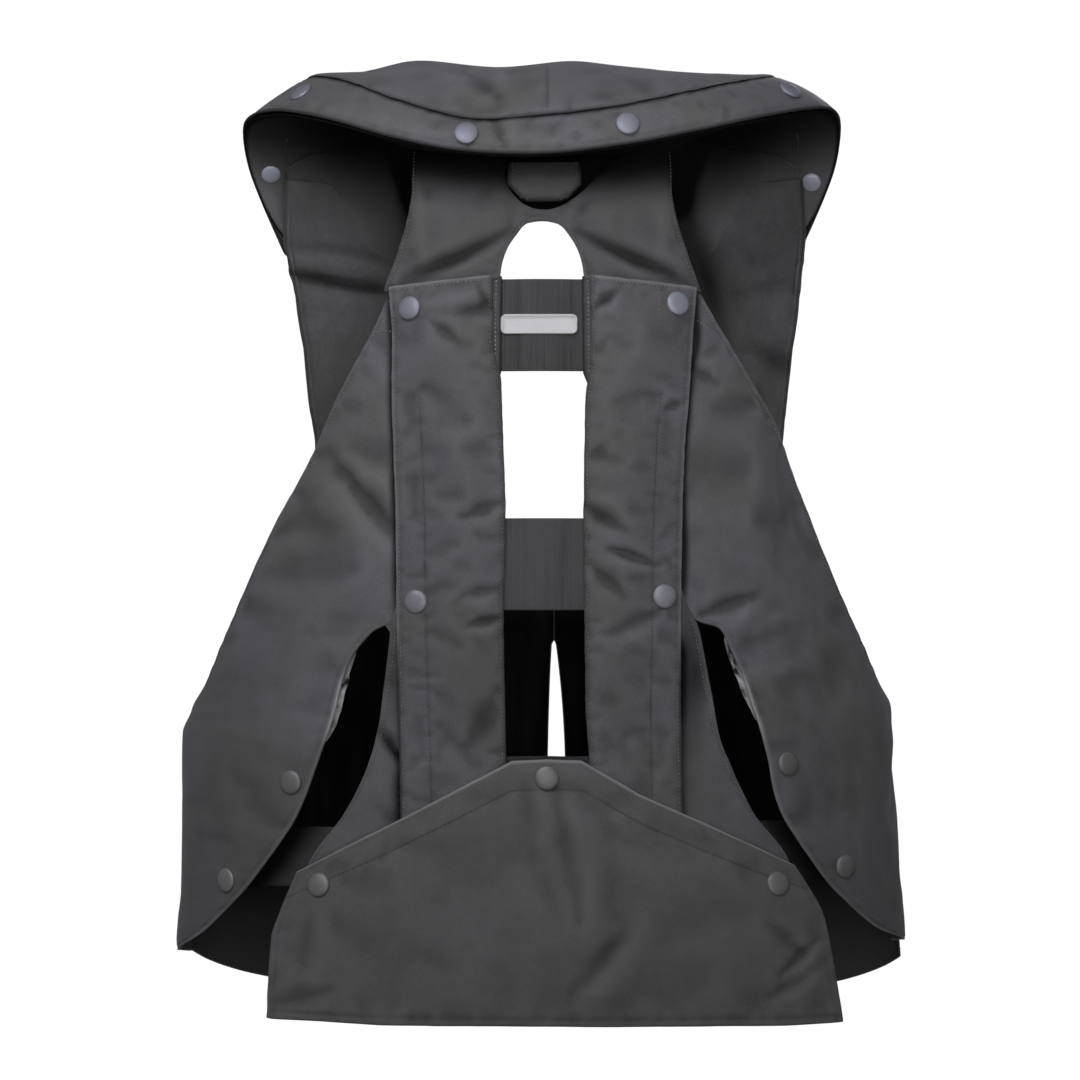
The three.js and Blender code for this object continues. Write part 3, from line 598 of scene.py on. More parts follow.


# Woven cloth: two thread directions from the cut's own coordinates, blotches, painted highlight on edges
# and creases, painted shade in creases and where marked.
def wovenLook(name, given):
    look, book = newLook(name)
    cut = book.add("ShaderNodeUVMap", dict(uv_map="cut"))
    place = book.place()
    warp, weft = [book.maths("SINE", book.axis(cut, k) * (math.pi / given["thread"])) for k in (0, 1)]
    swap = book.maths("GREATER_THAN", warp * weft, 0)
    bump = swap * book.maths("ABSOLUTE", warp) + (1 - swap) * book.maths("ABSOLUTE", weft)
    broad, cloudy = book.noise(place, given["blotch"], 3), book.noise(place, given["cloud"], 3)
    fine, grain = book.noise(place, given["fine"], 2), book.noise(place, given["grain"], 1)
    edge, crease = book.mark("edge"), book.mark("crease")
    tint = book.blend(book.span(broad, 0.38, 0.62, 0, 1), given["warm"], given["cool"])
    # Below 0 the edge mark mixes in the flat black shader: painted shade.
    shut = book.maths("MAXIMUM", edge * -0.97, 0)
    # Crease tone: painted shade in valleys, painted highlight on ridges.
    folded = given["creaseTone"] * (crease + 0.8 * book.maths("MINIMUM", crease, 0))
    level = 1 + 0.35 * (cloudy - 0.5) + 0.3 * (fine - 0.5) + 0.45 * (grain - 0.5)
    level = level + folded + 0.1 * (bump - 0.6)
    # Painted highlight along edges where the edge mark is above 0.
    worn = book.maths("MAXIMUM", edge, 0) * given["edgeTone"]
    coloured = book.blend(worn, book.scaled(tint, level), given["worn"])
    if given.get("deep"):
        coloured = deepened(book, place, coloured, given["deep"])
    rough = book.span(fine, 0.3, 0.7, given["rough"] - 0.06, given["rough"] + 0.06)
    bent = book.bump(given["bump"], 0.0004, bump * 0.7 + grain * 0.5)
    closeLook(book, {
        "Base Color": coloured, "Roughness": rough, "Normal": bent, "Specular IOR Level": given["shine"],
        "Sheen Weight": given["sheen"], "Sheen Roughness": 0.45, "Sheen Tint": (0.86, 0.88, 1, 1)}, shut)
    return look


def plainLook(name, tone, rough, metal, scratch):
    look, book = newLook(name)
    place = book.place()
    cloud, fleck = book.noise(place, 160, 3), book.noise(place, 1400, 2)
    level = 1 + scratch * (cloud - 0.5) + 0.5 * scratch * (fleck - 0.5)
    closeLook(book, {
        "Base Color": book.scaled(tone[:3], level), "Metallic": metal,
        "Normal": book.bump(0.15, 0.0003, fleck),
        "Roughness": book.span(fleck, 0.3, 0.7, rough - 0.05, rough + 0.05)})
    return look


nylonGiven = dict(
    thread=0.0007, blotch=16, cloud=55, fine=260, grain=900, worn=shade(0.3), edgeTone=0.7, creaseTone=0.3,
    rough=0.66, bump=0.35, shine=0.35, sheen=0.1)
deepGiven = dict(
    dark=shade(0.002), streak=shade(0.02), hem=shade(0.05), top=(-0.34, -0.24), foot=(-0.6, -0.49))


def clothLook(name, warm, cool, **changes):
    return wovenLook(name, dict(nylonGiven, warm=shade(*warm), cool=shade(*cool), **changes))


# The flap, tail and yoke cloths are darker copies of this nylon: painted shade, matched to how the light
# falls on each part.
nylon = clothLook("nylonCloth", (0.060, 1, 1, 0.97), (0.068, 1, 0.985, 1.09))
flapNylon = clothLook("flapCloth", (0.051, 1, 1, 0.97), (0.058, 1, 0.985, 1.09))
tailNylon = clothLook("tailCloth", (0.056, 1, 1, 0.97), (0.059, 1, 1, 1.01))
yokeNylon = clothLook("yokeCloth", (0.041, 1, 1, 0.97), (0.045, 1, 0.99, 1.05))
neckShadeCloth = clothLook("neckShadeCloth", (0.009,), (0.011,), sheen=0.02)
# Paler copy of the nylon for the inner faces under the collar and inside the fronts: painted light.
innerTones = [(0.082, 1, 1, 0.97), (0.09, 1, 0.99, 1.05)]
innerNylon = clothLook("innerCloth", *innerTones, creaseTone=0.2)
insideCloth = clothLook("insideCloth", *innerTones, creaseTone=0.2, deep=deepGiven, sheen=0, shine=0.05)
liningCloth = clothLook("liningCloth", (0.03, 1, 1, 0.95), (0.036, 1, 1, 1.04), edgeTone=0.2, sheen=0.05)
elasticCloth = clothLook(
    "elasticWeave", (0.033,), (0.038, 1, 1, 1.05), thread=0.0005, edgeTone=0.2, rough=0.75, bump=0.5)
bladderCloth = clothLook(
    "bladderCloth", (0.16, 1, 1, 0.97), (0.24, 1, 1, 1.02), edgeTone=0.3, creaseTone=0.9)

threadLook, book = newLook("sewingThread")
uneven = book.span(book.noise(book.place(), 420, 1), 0.35, 0.65, 0, 1)
thread = book.blend(book.mark("tone") * (0.35 + 0.65 * uneven), shade(0.008), shade(0.2, 1, 1, 1.04))
closeLook(book, {"Base Color": thread, "Roughness": 0.65 + 0.1 * uneven})

# Painted reflection: stud caps are paler and bluer towards the collar, as the light they reflect is
# brighter higher up.
studMetal, book = newLook("studMetal")
place = book.place()
fleck = book.noise(place, 900, 2)
higher = book.span(book.axis(place, 2), -0.43, -0.2, 0, 1)
studTone = book.blend(higher, shade(0.105), shade(0.148, 0.94, 0.98, 1.16))
closeLook(book, {
    "Base Color": book.scaled(studTone, book.mark("tone") * (0.85 + 0.3 * fleck)),
    "Roughness": 0.44 + 0.1 * fleck, "Metallic": 0.25, "Normal": book.bump(0.12, 0.0003, fleck)})
platePlastic = plainLook("platePlastic", shade(0.35, 1, 1, 1.01), 0.45, 0.05, 0.08)
claspPlastic = plainLook("claspPlastic", shade(0.02), 0.45, 0, 0.2)
nylonLook = dict(cloth=nylon, lining=liningCloth)
print("materials made")

rimHeight = tableOf("x z", (0, -15), (55, -11), (100, -1), (145, 11), (180, 25), (215, 35))


# Cloth close under the collar's rim lies in the dark, and comes into the light further down.
def underRim(at, drop, reach):
    rim = along(rimHeight, "x", "z", np.abs(at.x))
    return ease((rim + drop - at.z) / reach) ** 1.2 - 1


# Folds painted as shade: only their dark side counts.
def paintedFoldShade(folds, at, share=1):
    return np.minimum(foldField(folds, at) / share, 0)


# Painted shade of dark folds on the inner faces of the shoulders and fronts, close beside the yoke and
# lower down.
innerFoldShades = tableOf(
    foldColumns,
    (-190, -73, -150, -77, 5.5, -0.6),
    (-160, -79, -116, -82, 4.5, -0.6),
    (112, -25, 140, -116, 13, -0.85),
    (162, -127, 192, -147, 9, -0.55),
    (150, -84, 186, -78, 5, -0.25))
# Painted shade in a strip beside the yoke's edges, and under the collar's rim.
besideYoke = dict(x=98, left=14, right=24, low=-95, fade=35, dark=-0.8)
deepRim = dict(drop=9, reach=50)


# Painted shade on the faces under the collar: under the rim, beside the yoke and along painted dark folds.
def innerShade(at):
    wide = np.where(at.x < 0, besideYoke["left"], besideYoke["right"])
    beside = besideYoke["dark"] * (1 - ease((np.abs(at.x) - besideYoke["x"]) / wide))
    beside = beside * ease((at.z - besideYoke["low"]) / besideYoke["fade"])
    return underRim(at, **deepRim) + beside + paintedFoldShade(innerFoldShades, at)


sides = [
    SimpleNamespace(name="left", title="Left", sign=-1),
    SimpleNamespace(name="right", title="Right", sign=1)]
allEdges = ["left", "right", "top", "bottom"]
coverLift = 2.8  # how far the layer over the back panel lies off the form

# Yoke, from its arched cut-out to its outer edge.
yokeRows = tableOf(
    "archX archZ edgeX edgeZ",
    (29, -97, 106.5, -104), (27.5, -87, 98, -81), (24, -77, 91.5, -59), (19.5, -68.5, 88, -38),
    (15, -62.5, 88.5, -18), (12.6, -60.4, 86, 0))
yokeNeck = dict(
    left=tableOf(
        "archX archZ edgeX edgeZ",
        (11, -59.3, 60, 2), (9.8, -58.7, 36, 1), (8.6, -58.3, 26, -4), (7.4, -58, 25.4, -15),
        (6, -57.6, 25, -25), (4.6, -57.4, 22, -35), (2.6, -57.1, 12.4, -46)),
    right=tableOf(
        "archX archZ edgeX edgeZ",
        (11, -59.3, 70, 2), (9.6, -58.7, 57, -6), (8.2, -58.2, 46.7, -17), (6.6, -57.8, 36, -27),
        (5, -57.4, 27.5, -36.5), (2.8, -57.1, 15, -46.2)))
yokeMiddle = dict(archX=0, archZ=-57, edgeX=1, edgeZ=-50.4)
yokeAll = [dict(row, archX=-row["archX"], edgeX=-row["edgeX"]) for row in yokeRows + yokeNeck["left"]]
yokeAll += [yokeMiddle] + (yokeRows + yokeNeck["right"])[::-1]
yokeGiven = dict(
    nodes=["yoke"], slot="nylon", flat=(0.23, 0.12), across=190, down=44, held="stretched",
    restsOn=["back_panel"], seed=11, sink=0.5, evening=800, hemGap=3, hemFade=15,
    shadow=lambda at: underRim(at, drop=-5, reach=38) + paintedFoldShade(yokeGiven["folds"], at, 7),
    sim=dict(pitch=4, spare=0.002, stiff=6, most=3, edges=allEdges),
    seams=[
        dict(edge="bottom", offset=2, end=0.2, tone=0.55),
        dict(edge="bottom", offset=2, start=0.8, tone=0.55),
        dict(edge="top", offset=2.4, plain=True), dict(edge="left", offset=4, plain=True),
        dict(edge="right", offset=4, plain=True)],
    folds=tableOf(
        foldColumns,
        (-22, -65, -112, -110, 7, -4.6, 1.6),
        (110, -107, 26, -66, 7, -4.6, 1.6),
        (-84.1, -38.6, -74, -35.9, 7, -0.8),
        (22.1, -54.8, 32.2, -45.3, 5, -1, 0.6),
        (-85.5, -35.9, -81.4, -79, 8, 1.2),
        (84.7, -38.6, 82, -72.2, 8, 1.2)))


def yokeHem(x):
    first = yokeRows[0]
    part = (np.abs(x) - first["archX"]) / (first["edgeX"] - first["archX"])
    return mix(first["archZ"], first["edgeZ"], part)


def yokeSpot(u, v):
    arch, edge = [[through(yokeAll, end + axis, u) for axis in "XZ"] for end in ("arch", "edge")]
    grid = np.stack([mix(near, far, v) for near, far in zip(arch, edge)], axis=-1)
    grid = regrid(evened(grid[::2, ::2].copy(), yokeGiven["evening"]), *u.shape)
    x, z = grid[..., 0], grid[..., 1]
    return turnAt(x, z), z, coverLift - yokeGiven["sink"] + 0 * x


def yokeRelief(at):
    height = foldField(yokeGiven["folds"], at)
    height = height + 0.6 * rumple(at.x, at.z, 46, 21) + 0.2 * crinkle(at.x, at.z, 24, 23)
    above = at.z - yokeHem(at.x) - yokeGiven["hemGap"]
    return height * ease(above / yokeGiven["hemFade"])  # flat where the flaps lie over it


formPanel("yokeCloth", yokeGiven, yokeSpot, yokeRelief, dict(cloth=yokeNylon, lining=liningCloth))

# Sheet painted black behind the neck cut-out: painted shade inside the opening.
neckGiven = dict(
    nodes=[], slot="lining", across=24, down=20, held="stretched", restsOn=["yoke"],
    left=-46, right=78, top=-1, bottom=-53.5, lift=-5, shadow=lambda at: -1 + 0 * at.x)


def neckSpot(u, v):
    z = mix(neckGiven["top"], neckGiven["bottom"], v)
    return turnAt(mix(neckGiven["left"], neckGiven["right"], u), z), z, neckGiven["lift"] + 0 * z


formPanel("neckLining", neckGiven, neckSpot, lambda at: 0 * at.x, dict(cloth=neckShadeCloth, lining=neckShadeCloth))

# Back panel, round the long window, out to the slits and down to the hem.
legEdge = tableOf(
    "z left right",
    (-95, 27.1, 27.1), (-200, 26.6, 26.6), (-298, 24, 24), (-316, 26, 24.8), (-329, 27.2, 26.2),
    (-337, 25.5, 26.6), (-362, 25.3, 26.9), (-386, 25.4, 27.3), (-408, 26, 28.1), (-427, 27.3, 30),
    (-459, 31.2, 33.9), (-492, 37.4, 40.5), (-530, 41.5, 43.5), (-594, 42.5, 44))
windowRows = tableOf(
    "x z edgeZ reach",
    (40, -95, -95, 1), (40, -165, -165, 1), (40, -235, -235, 1), (40, -300, -300, 1),
    (40, -345, -345, 1), (40, -380, -392, 1), (40, -405, -440, 1), (37, -418, -492, 1),
    (27, -420, -545, 1), (16, -420, -590, 0.98), (8, -420, -593, 0.5), (0, -420, -593, 0))


# The flaps' shade on the strips beside the slits.
def flapShade(at):
    away = np.maximum(np.abs(at.x) - 93, 0)
    return 0.75 * bell(away / 4) * ease((-335 - at.z) / 15)


backGiven = dict(
    nodes=["back_panel"], slot="nylon", flat=(0.38, 0.5), across=260, down=36, held="stretched",
    restsOn=["yoke"], seed=31, shadow=lambda at: paintedFoldShade(backGiven["foldShades"], at) - flapShade(at),
    # Painted shade of dark folds on the strips beside the slits, close to the flaps' edges.
    foldShades=tableOf(
        foldColumns,
        (-111, -402, -94, -425, 3.5, -0.9),
        (-97, -420, -96, -468, 5, -0.7),
        (-108, -456, -97, -466, 6, -0.45),
        (-99, -330, -99, -404, 9, -0.42),
        (98, -318, 102, -410, 12, -0.7)),
    seams=[
        dict(edge="bottom", offset=3, start=0.16, end=0.46),
        dict(edge="bottom", offset=3, start=0.54, end=0.84)],
    folds=tableOf(
        foldColumns,
        (-107, -401.8, -94.2, -416.6, 5, -1.4, 0.8),
        (104, -350, 108, -385, 7, -1.2, 0.8)))


def backSpot(u, v):
    part = 1 - np.abs(2 * u - 1)
    sign = np.where(u < 0.5, -1, 1)
    windowZ, edgeZ = through(windowRows, "z", part), through(windowRows, "edgeZ", part)
    windowTurn = turnAt(through(windowRows, "x", part), windowZ)
    leg = np.where(u < 0.5, along(legEdge, "z", "left", edgeZ), along(legEdge, "z", "right", edgeZ))
    turn = sign * mix(windowTurn, leg * through(windowRows, "reach", part), v)
    return turn, mix(windowZ, edgeZ, v), 0 * u


def backRelief(at):
    shown = ease((np.abs(at.x) - 92) / 12) * ease((-330 - at.z) / 30)
    return shown * (0.5 * rumple(at.x, at.z, 40, 33) + foldField(backGiven["folds"], at))


formPanel("backPanelCloth", backGiven, backSpot, backRelief, nylonLook)

# Outlines of the flaps, which the shade on the side panels follows too.
flapRows = tableOf(
    "z leftInner leftOuter rightInner rightOuter",
    (-97, 33.6, 102, 32.8, 103), (-138, 33, 100, 33, 100.5), (-158, 30, 99.6, 32.4, 98.6),
    (-166, 27.8, 99.5, 31, 98), (-180, 27.3, 99.4, 29.3, 97), (-210, 26.3, 98.4, 28.8, 94.4),
    (-260, 24.9, 96.8, 28.2, 92.7), (-320, 26.3, 96.2, 28.8, 91.9), (-381, 25.6, 95.4, 29.5, 91.8),
    (-420, 24.9, 94, 32.2, 92.5), (-476, 27, 93, 34, 93.5))

# Side panels, from the seam beside the flap and the slit edge to the armhole and side seam.
sideRows = dict(
    left=tableOf(
        "inner innerZ outer outerZ",
        (27.5, -95, 30, -97), (27.3, -150, 35, -131), (27, -205, 44, -175), (25.6, -255, 51, -213),
        (24.5, -298, 60.2, -259), (25.9, -327, 65, -302), (29.4, -337, 70, -344),
        (32.4, -360, 75, -378), (33.5, -398, 87, -398), (36, -430, 100, -420), (39.4, -462, 100, -450),
        (45.4, -493, 100, -485), (53.5, -523, 100, -522), (66, -552, 100, -554), (84, -571, 100, -578)),
    right=tableOf(
        "inner innerZ outer outerZ",
        (27.5, -95, 30.6, -97), (27.3, -150, 37, -128), (27, -205, 46, -166), (25.6, -255, 54.5, -200),
        (24.5, -298, 61.2, -248), (26.3, -326, 65, -300), (30.6, -334, 70, -341),
        (32.3, -354, 75, -378), (33.7, -384, 87, -397), (35.9, -418, 100, -420), (38, -455, 100, -450),
        (44, -490, 100, -485), (51.4, -519, 100, -520), (64, -547, 100, -549), (83, -563, 100, -570)))
sideSeam = 100  # degrees round from the middle of the back
seamTurn = 0.04  # half of the seam's gap
sideFolds = dict(
    left=tableOf(
        foldColumns,
        (-132.5, -230.3, -96.9, -274, 9, -3.4, 2.2),
        (-124.5, -329.8, -150.7, -337.9, 9, -1.6, 1),
        (-148, -236, -128, -262, 16, 2.4),
        (-150, -400, -222, -424, 22, 1.6)),
    right=tableOf(
        foldColumns,
        (141.8, -313.7, 110.2, -323.8, 6.5, -2.8, 1.6),
        (124.4, -333.2, 166.7, -327.8, 9, 1.6),
        (133.1, -366.8, 174.8, -359.4, 10, 1.8),
        (104.2, -157, 115.6, -165.1, 5, -1.6, 0.8),
        (149.9, -341.3, 129.7, -348, 8, -1.2)))
sideGiven = dict(
    slot="nylon", across=92, down=220, held="draped", restsOn=["back_panel"], seed=41,
    mouth=dict(start=0.36, rise=0.26, end=1.06, fall=0.4, curl=2.2, lift=11),
    sim=dict(pitch=5.5, spare=0.002, stiff=14, most=6, edges=allEdges),
    seams=[
        dict(edge="right", offset=2, start=0.02, end=0.5, tone=0.6),
        dict(edge="left", offset=4, start=0.36, end=1, depth=0.3, plain=True),
        dict(edge="bottom", offset=4, depth=0.3, plain=True)])


def sideSpot(side):
    rows, mouth = sideRows[side.name], sideGiven["mouth"]

    def spot(u, v):
        outer = np.minimum(through(rows, "outer", v), sideSeam - seamTurn)
        turn = side.sign * mix(through(rows, "inner", v), outer, u)
        z = mix(through(rows, "innerZ", v), through(rows, "outerZ", v), u)
        opened = ease((v - mouth["start"]) / mouth["rise"]) * ease((mouth["end"] - v) / mouth["fall"])
        return turn, z, mouth["lift"] * opened * (1 - u) ** mouth["curl"]
    return spot


# Painted highlight along the slit mouth's edge, and along the armhole edge painted highlight higher up and
# painted shade lower down.
def mouthEdge(at):
    crinkled = ease((-362 - at.z) / 12) * ease((at.z + 418) / 20)
    return 0.15 * ease((-352 - at.z) / 15) + 0.5 * crinkled + 0.45 * ease((-525 - at.z) / 30)


def armholeEdge(at):
    return 0.38 * ease((at.z + 330) / 60) - 0.35


for side in sides:
    def sideRelief(at, side=side):
        around = at.x + at.y
        broad = 1.3 * rumple(around, at.z, 95, 43 + side.sign)
        broad = broad + 0.3 * rumple(around, at.z, 34, 47 + side.sign)
        fine = 0.2 * crinkle(around, at.z, 38, 51 + side.sign)
        seated = ease(at.left / 30) * ease(at.right / 25)
        return foldField(sideFolds[side.name], at) + seated * (broad + fine)

    def sideShadow(at, side=side):
        away = side.sign * at.x - along(flapRows, "z", side.name + "Outer", at.z)
        wide = 2 + (2.5 * bell((at.z + 138) / 16) + 2 * bell((at.z + 285) / 28)) * (side.sign > 0)
        return -0.9 * (1 - ease((away - wide) / 5)) * ease((at.z + 345) / 40)

    # Painted highlight along the bottom hem as well.
    sideEdges = dict(left=mouthEdge, right=armholeEdge, bottom=0.5)
    given = dict(sideGiven, nodes=["side_panel_" + side.name], shadow=sideShadow, edges=sideEdges)
    formPanel("sidePanel" + side.title, given, sideSpot(side), sideRelief, nylonLook)

# Back flaps beside the window, sewn along it and snapped at their other edge.
flapFolds = dict(
    left=tableOf(
        foldColumns,
        (-71.3, -129.4, -57.2, -140.2, 5, -1.8, 1),
        (-76.7, -114.6, -37.7, -106.5, 6, 1.6),
        (-44.4, -121.3, -33.7, -118, 5, -1.8),
        (-29, -249.1, -49.8, -257.2, 6, -2, 1.2),
        (-32.3, -307.6, -49.8, -310.3, 5, -1.6, 0.8),
        (-29.6, -326.5, -47.1, -330.5, 4.5, -2.2, 1.2),
        (-32.3, -378.2, -48.5, -409.8, 9, -2.2, 1.2),
        (-47.1, -203.4, -68.7, -206.7, 9, 1),
        (-61.9, -287.5, -75.4, -300.9, 8, 0.9)),
    right=tableOf(
        foldColumns,
        (47.7, -107.2, 36.9, -115.3, 5, -2.2, 1.2),
        (30.2, -251.8, 53.1, -266.6, 6.5, -2.4, 1.4),
        (72.6, -289.5, 47.7, -280.7, 4.2, -2.8, 1.8),
        (34.2, -292.2, 53.1, -310.3, 6, -2.2, 1.4),
        (74.6, -323.1, 53.7, -333.2, 7, -1.6, 1),
        (31.6, -213.5, 43.7, -218.9, 8, -1.8, 0.6),
        (84.7, -185.2, 93.4, -181.2, 4, -1.2, 0.6),
        (34.9, -142.9, 43, -147.6, 8, -0.9),
        (39, -348, 36.3, -381.6, 10, 1.2)))
# Painted shade of dark crinkles on the flaps.
flapFoldShades = tableOf(
    foldColumns,
    (-57, -122, -36, -113, 3, -0.5),
    (-43, -104, -35, -117, 3, -0.6),
    (35, -118, 50, -107, 3.5, -0.5),
    (-28, -382, -42, -410, 8, -0.45),
    (31, -252, 45, -262, 5, -0.35),
    (-27, -325, -45, -331, 4, -0.35))
flapGiven = dict(
    slot="nylon", across=44, down=210, fill=0.35, seed=61, gap=-1.2, end=-476, crown=4.6, stand=1.8,
    shadow=lambda at: paintedFoldShade(flapFoldShades, at),
    sim=dict(pitch=4, spare=0.003, stiff=6, most=4, push=0.2, edges=allEdges),
    seams=[
        dict(edge="left", offset=1.6, tone=0.5), dict(edge="right", offset=1.8, tone=0.6),
        dict(edge="right", offset=20.5, depth=0.25, tone=0.12, start=0.2),
        dict(edge="top", offset=2, tone=0.65)],
    # Painted highlight and shade along the flap edges: outer edge lighter above and darker low down, window
    # edge darker, top edge lighter.
    edges=dict(right=lambda at: 0.25 - 0.85 * ease((-335 - at.z) / 40), left=-0.3, top=0.3))


def flapSpot(side):
    first = flapRows[0]

    def spot(u, v):
        topX = mix(first[side.name + "Inner"], first[side.name + "Outer"], u)
        z = mix(yokeHem(topX) - flapGiven["gap"], flapGiven["end"], v)
        inner = along(flapRows, "z", side.name + "Inner", z)
        outer = along(flapRows, "z", side.name + "Outer", z)
        puff = np.sin(np.pi * u ** 0.9) * ease(v / 0.06) * (1 - 0.75 * ease((-350 - z) / 60))
        lift = coverLift + 1.6 * (1 - ease(v / 0.1)) + flapGiven["crown"] * puff
        return turnAt(side.sign * mix(inner, outer, u), z), z, lift
    return spot


for side in sides:
    def flapRelief(at, side=side):
        broad = 0.6 * rumple(at.x, at.z, 48, 63 + side.sign)
        broad = broad + 0.2 * crinkle(at.x, at.z * 0.8, 26, 67 + side.sign)
        seated = ease(at.left / 12) * ease(at.right / 16)
        stand = flapGiven["stand"] * bell(at.right / 14) * ease((at.top - 30) / 30)
        return foldField(flapFolds[side.name], at) + seated * broad + stand

    given = dict(flapGiven, nodes=["back_flap_" + side.name])
    flapLook = dict(cloth=flapNylon, lining=liningCloth)
    formPanel("backFlap" + side.title, given, flapSpot(side), flapRelief, flapLook)

# Narrow bindings between the flaps and the window, beside the upper elastic.
bindingGiven = dict(
    nodes=[], slot="nylon", across=10, down=60, thick=1.4, held="stretched", restsOn=["back_panel"],
    seed=69, top=-96.5, bottom=-176, inner=[(0, 27.3), (0.82, 28), (1, 34)], outer=38, lift=2.3,
    seams=[dict(edge="left", offset=3.4, depth=0.3, tone=1)], edges=dict(left=-0.5), shadow=lambda at: -0.3)
for side in sides:
    def bindingSpot(u, v, side=side):
        z = mix(bindingGiven["top"], bindingGiven["bottom"], v)
        inner = np.interp(v, *zip(*bindingGiven["inner"]))
        return turnAt(side.sign * mix(inner, bindingGiven["outer"], u), z), z, bindingGiven["lift"] + 0 * z

    name = "windowBinding" + side.title
    formPanel(name, bindingGiven, bindingSpot, lambda at: 0.2 * np.sin(at.z / 5), nylonLook)

# Ribbed elastics across the window.
elasticLook = dict(cloth=elasticCloth, lining=elasticCloth)
elasticGiven = dict(
    slot="elastic", across=308, down=30, thick=1.4, held="stretched", restsOn=["back_panel"], seed=71,
    half=38.5, lift=0.6, rib=1.55,
    seams=[dict(edge="left", offset=6), dict(edge="right", offset=6)])
elasticFolds = tableOf(foldColumns, (16, -258, 14.5, -322, 3.2, -1.3, 0.7))
elastics = tableOf(
    "node name top bottom swell pale folds",
    ("elastic_upper", "elasticUpper", -98.5, -159.6, 0.2, 0, []),
    ("elastic_lower", "elasticLower", -260, -320.5, 1, 1, elasticFolds))
for band in elastics:
    def elasticSpot(u, v, band=band):
        z = mix(band["top"], band["bottom"], v)
        half = elasticGiven["half"]
        return turnAt(mix(-half, half, u), z), z, elasticGiven["lift"] + 0 * z

    def elasticRelief(at, band=band):
        rib = 0.3 * np.abs(np.sin(math.pi * at.x / elasticGiven["rib"]))
        rib = rib * (1 + 0.5 * softNoise(at.x / 3, at.z / 90, 73))
        swell = 2.6 * bell(at.x / 13) - 1.6 * bell((at.x - 22) / 6) - 1.3 * bell((at.x + 20) / 5)
        return rib + band["swell"] * swell + foldField(band["folds"], at) - 0.3

    # Vertical lines of random tone along the ribs; pale lifts the lower elastic as painted light.
    def elasticStripes(at, band=band):
        lines = softNoise(at.x / 0.9, at.z / 160, 75) + 0.6 * softNoise(at.x / 3.1, at.z / 60, 77)
        return 0.9 * lines * (0.6 + 0.4 * softNoise(at.x / 5, at.z / 14, 79)) + band["pale"]

    given = dict(elasticGiven, nodes=[band["node"]], stripes=elasticStripes)
    formPanel(band["name"], given, elasticSpot, elasticRelief, elasticLook)

# Nape tab over the yoke, with chamfered lower corners.
tabRows = tableOf("z half", (-17, 23.4), (-32, 23.4), (-43.4, 13.6))
tabGiven = dict(
    nodes=["nape_tab"], slot="nylon", across=40, down=32, thick=2.4, held="hung", restsOn=["yoke"], seed=81,
    middle=1.5, rise=2.8, edges=dict(left=-0.4, right=-0.4, bottom=-0.4),
    seams=[dict(edge=key, offset=2.4, tone=0.14) for key in ("left", "right", "bottom")],
    shadow=lambda at: -0.3 - 0.3 * ease((at.z + 30) / 14))


def tabSpot(u, v):
    z, half = between(tabRows, "z", v), between(tabRows, "half", v)
    return turnAt(tabGiven["middle"] + mix(-half, half, u), z), z, coverLift + tabGiven["rise"] + 0 * z


def tabRelief(at):
    return 1.2 + 0.5 * rumple(at.x, at.z, 22, 83)


formPanel("napeTab", tabGiven, tabSpot, tabRelief, dict(cloth=yokeNylon, lining=liningCloth))

# Tail flap, loose along its slanted top edge.
tailRows = tableOf(
    "topX topZ endX endZ",
    (-163, -500, -176, -596), (-130, -481.5, -145, -596), (-95, -463, -106, -597),
    (-58, -443, -65, -596.5), (-20, -422.5, -25, -596), (3, -421.4, 3, -596), (26, -422.3, 31, -596.5),
    (64, -445, 74, -597), (104, -463.5, 115, -598), (140, -481, 157, -600), (169, -496, 193.5, -600.5))
tailSides = tableOf(
    "v left right",
    (0, 0, 0), (0.333, 0.78, 0.68), (0.444, 0.98, 0.76), (0.7, 1, 0.88), (1, 1, 1))
tailGiven = dict(
    nodes=["tail_flap"], slot="nylon", across=190, down=92, held="hung", restsOn=["back_panel"], seed=91,
    lift=6.9, fall=4, flare=11, edgeWide=0.6,
    sim=dict(pitch=5.5, spare=0.0015, stiff=14, most=4, edges=allEdges),
    # Painted highlight along the loose top edge.
    edges=dict(top=0.5),
    seams=[
        dict(edge="top", offset=19, depth=0.2, tone=0.1),
        dict(edge="bottom", offset=4, depth=0.4, plain=True),
        dict(edge="left", offset=4, depth=0.3, plain=True),
        dict(edge="right", offset=4, depth=0.3, plain=True)],
    folds=tableOf(
        foldColumns,
        (-10.7, -440.4, -6.7, -480.4, 9, -2.4, 1.6),
        (10.6, -451.1, 23.9, -523.6, 8, -2.6, 1.8),
        (49.2, -541.6, 21.9, -573.6, 9, -2.6, 1.6),
        (-14.7, -473.7, 6.6, -517, 10, -1.6, 1),
        (153, -533.6, 175.7, -553.6, 6, -1.8, 1.2),
        (183.7, -548.3, 162.4, -565.6, 5, -2, 1.2),
        (185, -563.6, 155, -580.2, 6, -1.6, 1),
        (-181.8, -588.2, -146.5, -577.6, 7, -2.4, 1.4),
        (-155.2, -530.3, -163.2, -566.9, 8, -1.4, 0.8),
        (65.2, -487, 105.1, -513.6, 16, 0.9),
        (-81.3, -507, -107.9, -553.6, 20, 0.9),
        (-4, -455, -12, -585, 14, 2.4),
        (28, -475, 36, -590, 16, 2.4)))


def tailSpot(u, v):
    bow = np.where(u < 0.5, along(tailSides, "v", "left", v), along(tailSides, "v", "right", v))
    edge = np.abs(2 * u - 1) ** 3
    x = mix(between(tailRows, "topX", u), between(tailRows, "endX", u), mix(v, bow, edge))
    z = mix(between(tailRows, "topZ", u), between(tailRows, "endZ", u), v)
    lift = tailGiven["lift"] + tailGiven["fall"] * v + tailGiven["flare"] * edge * v ** 0.7
    return turnAt(x, z), z, lift


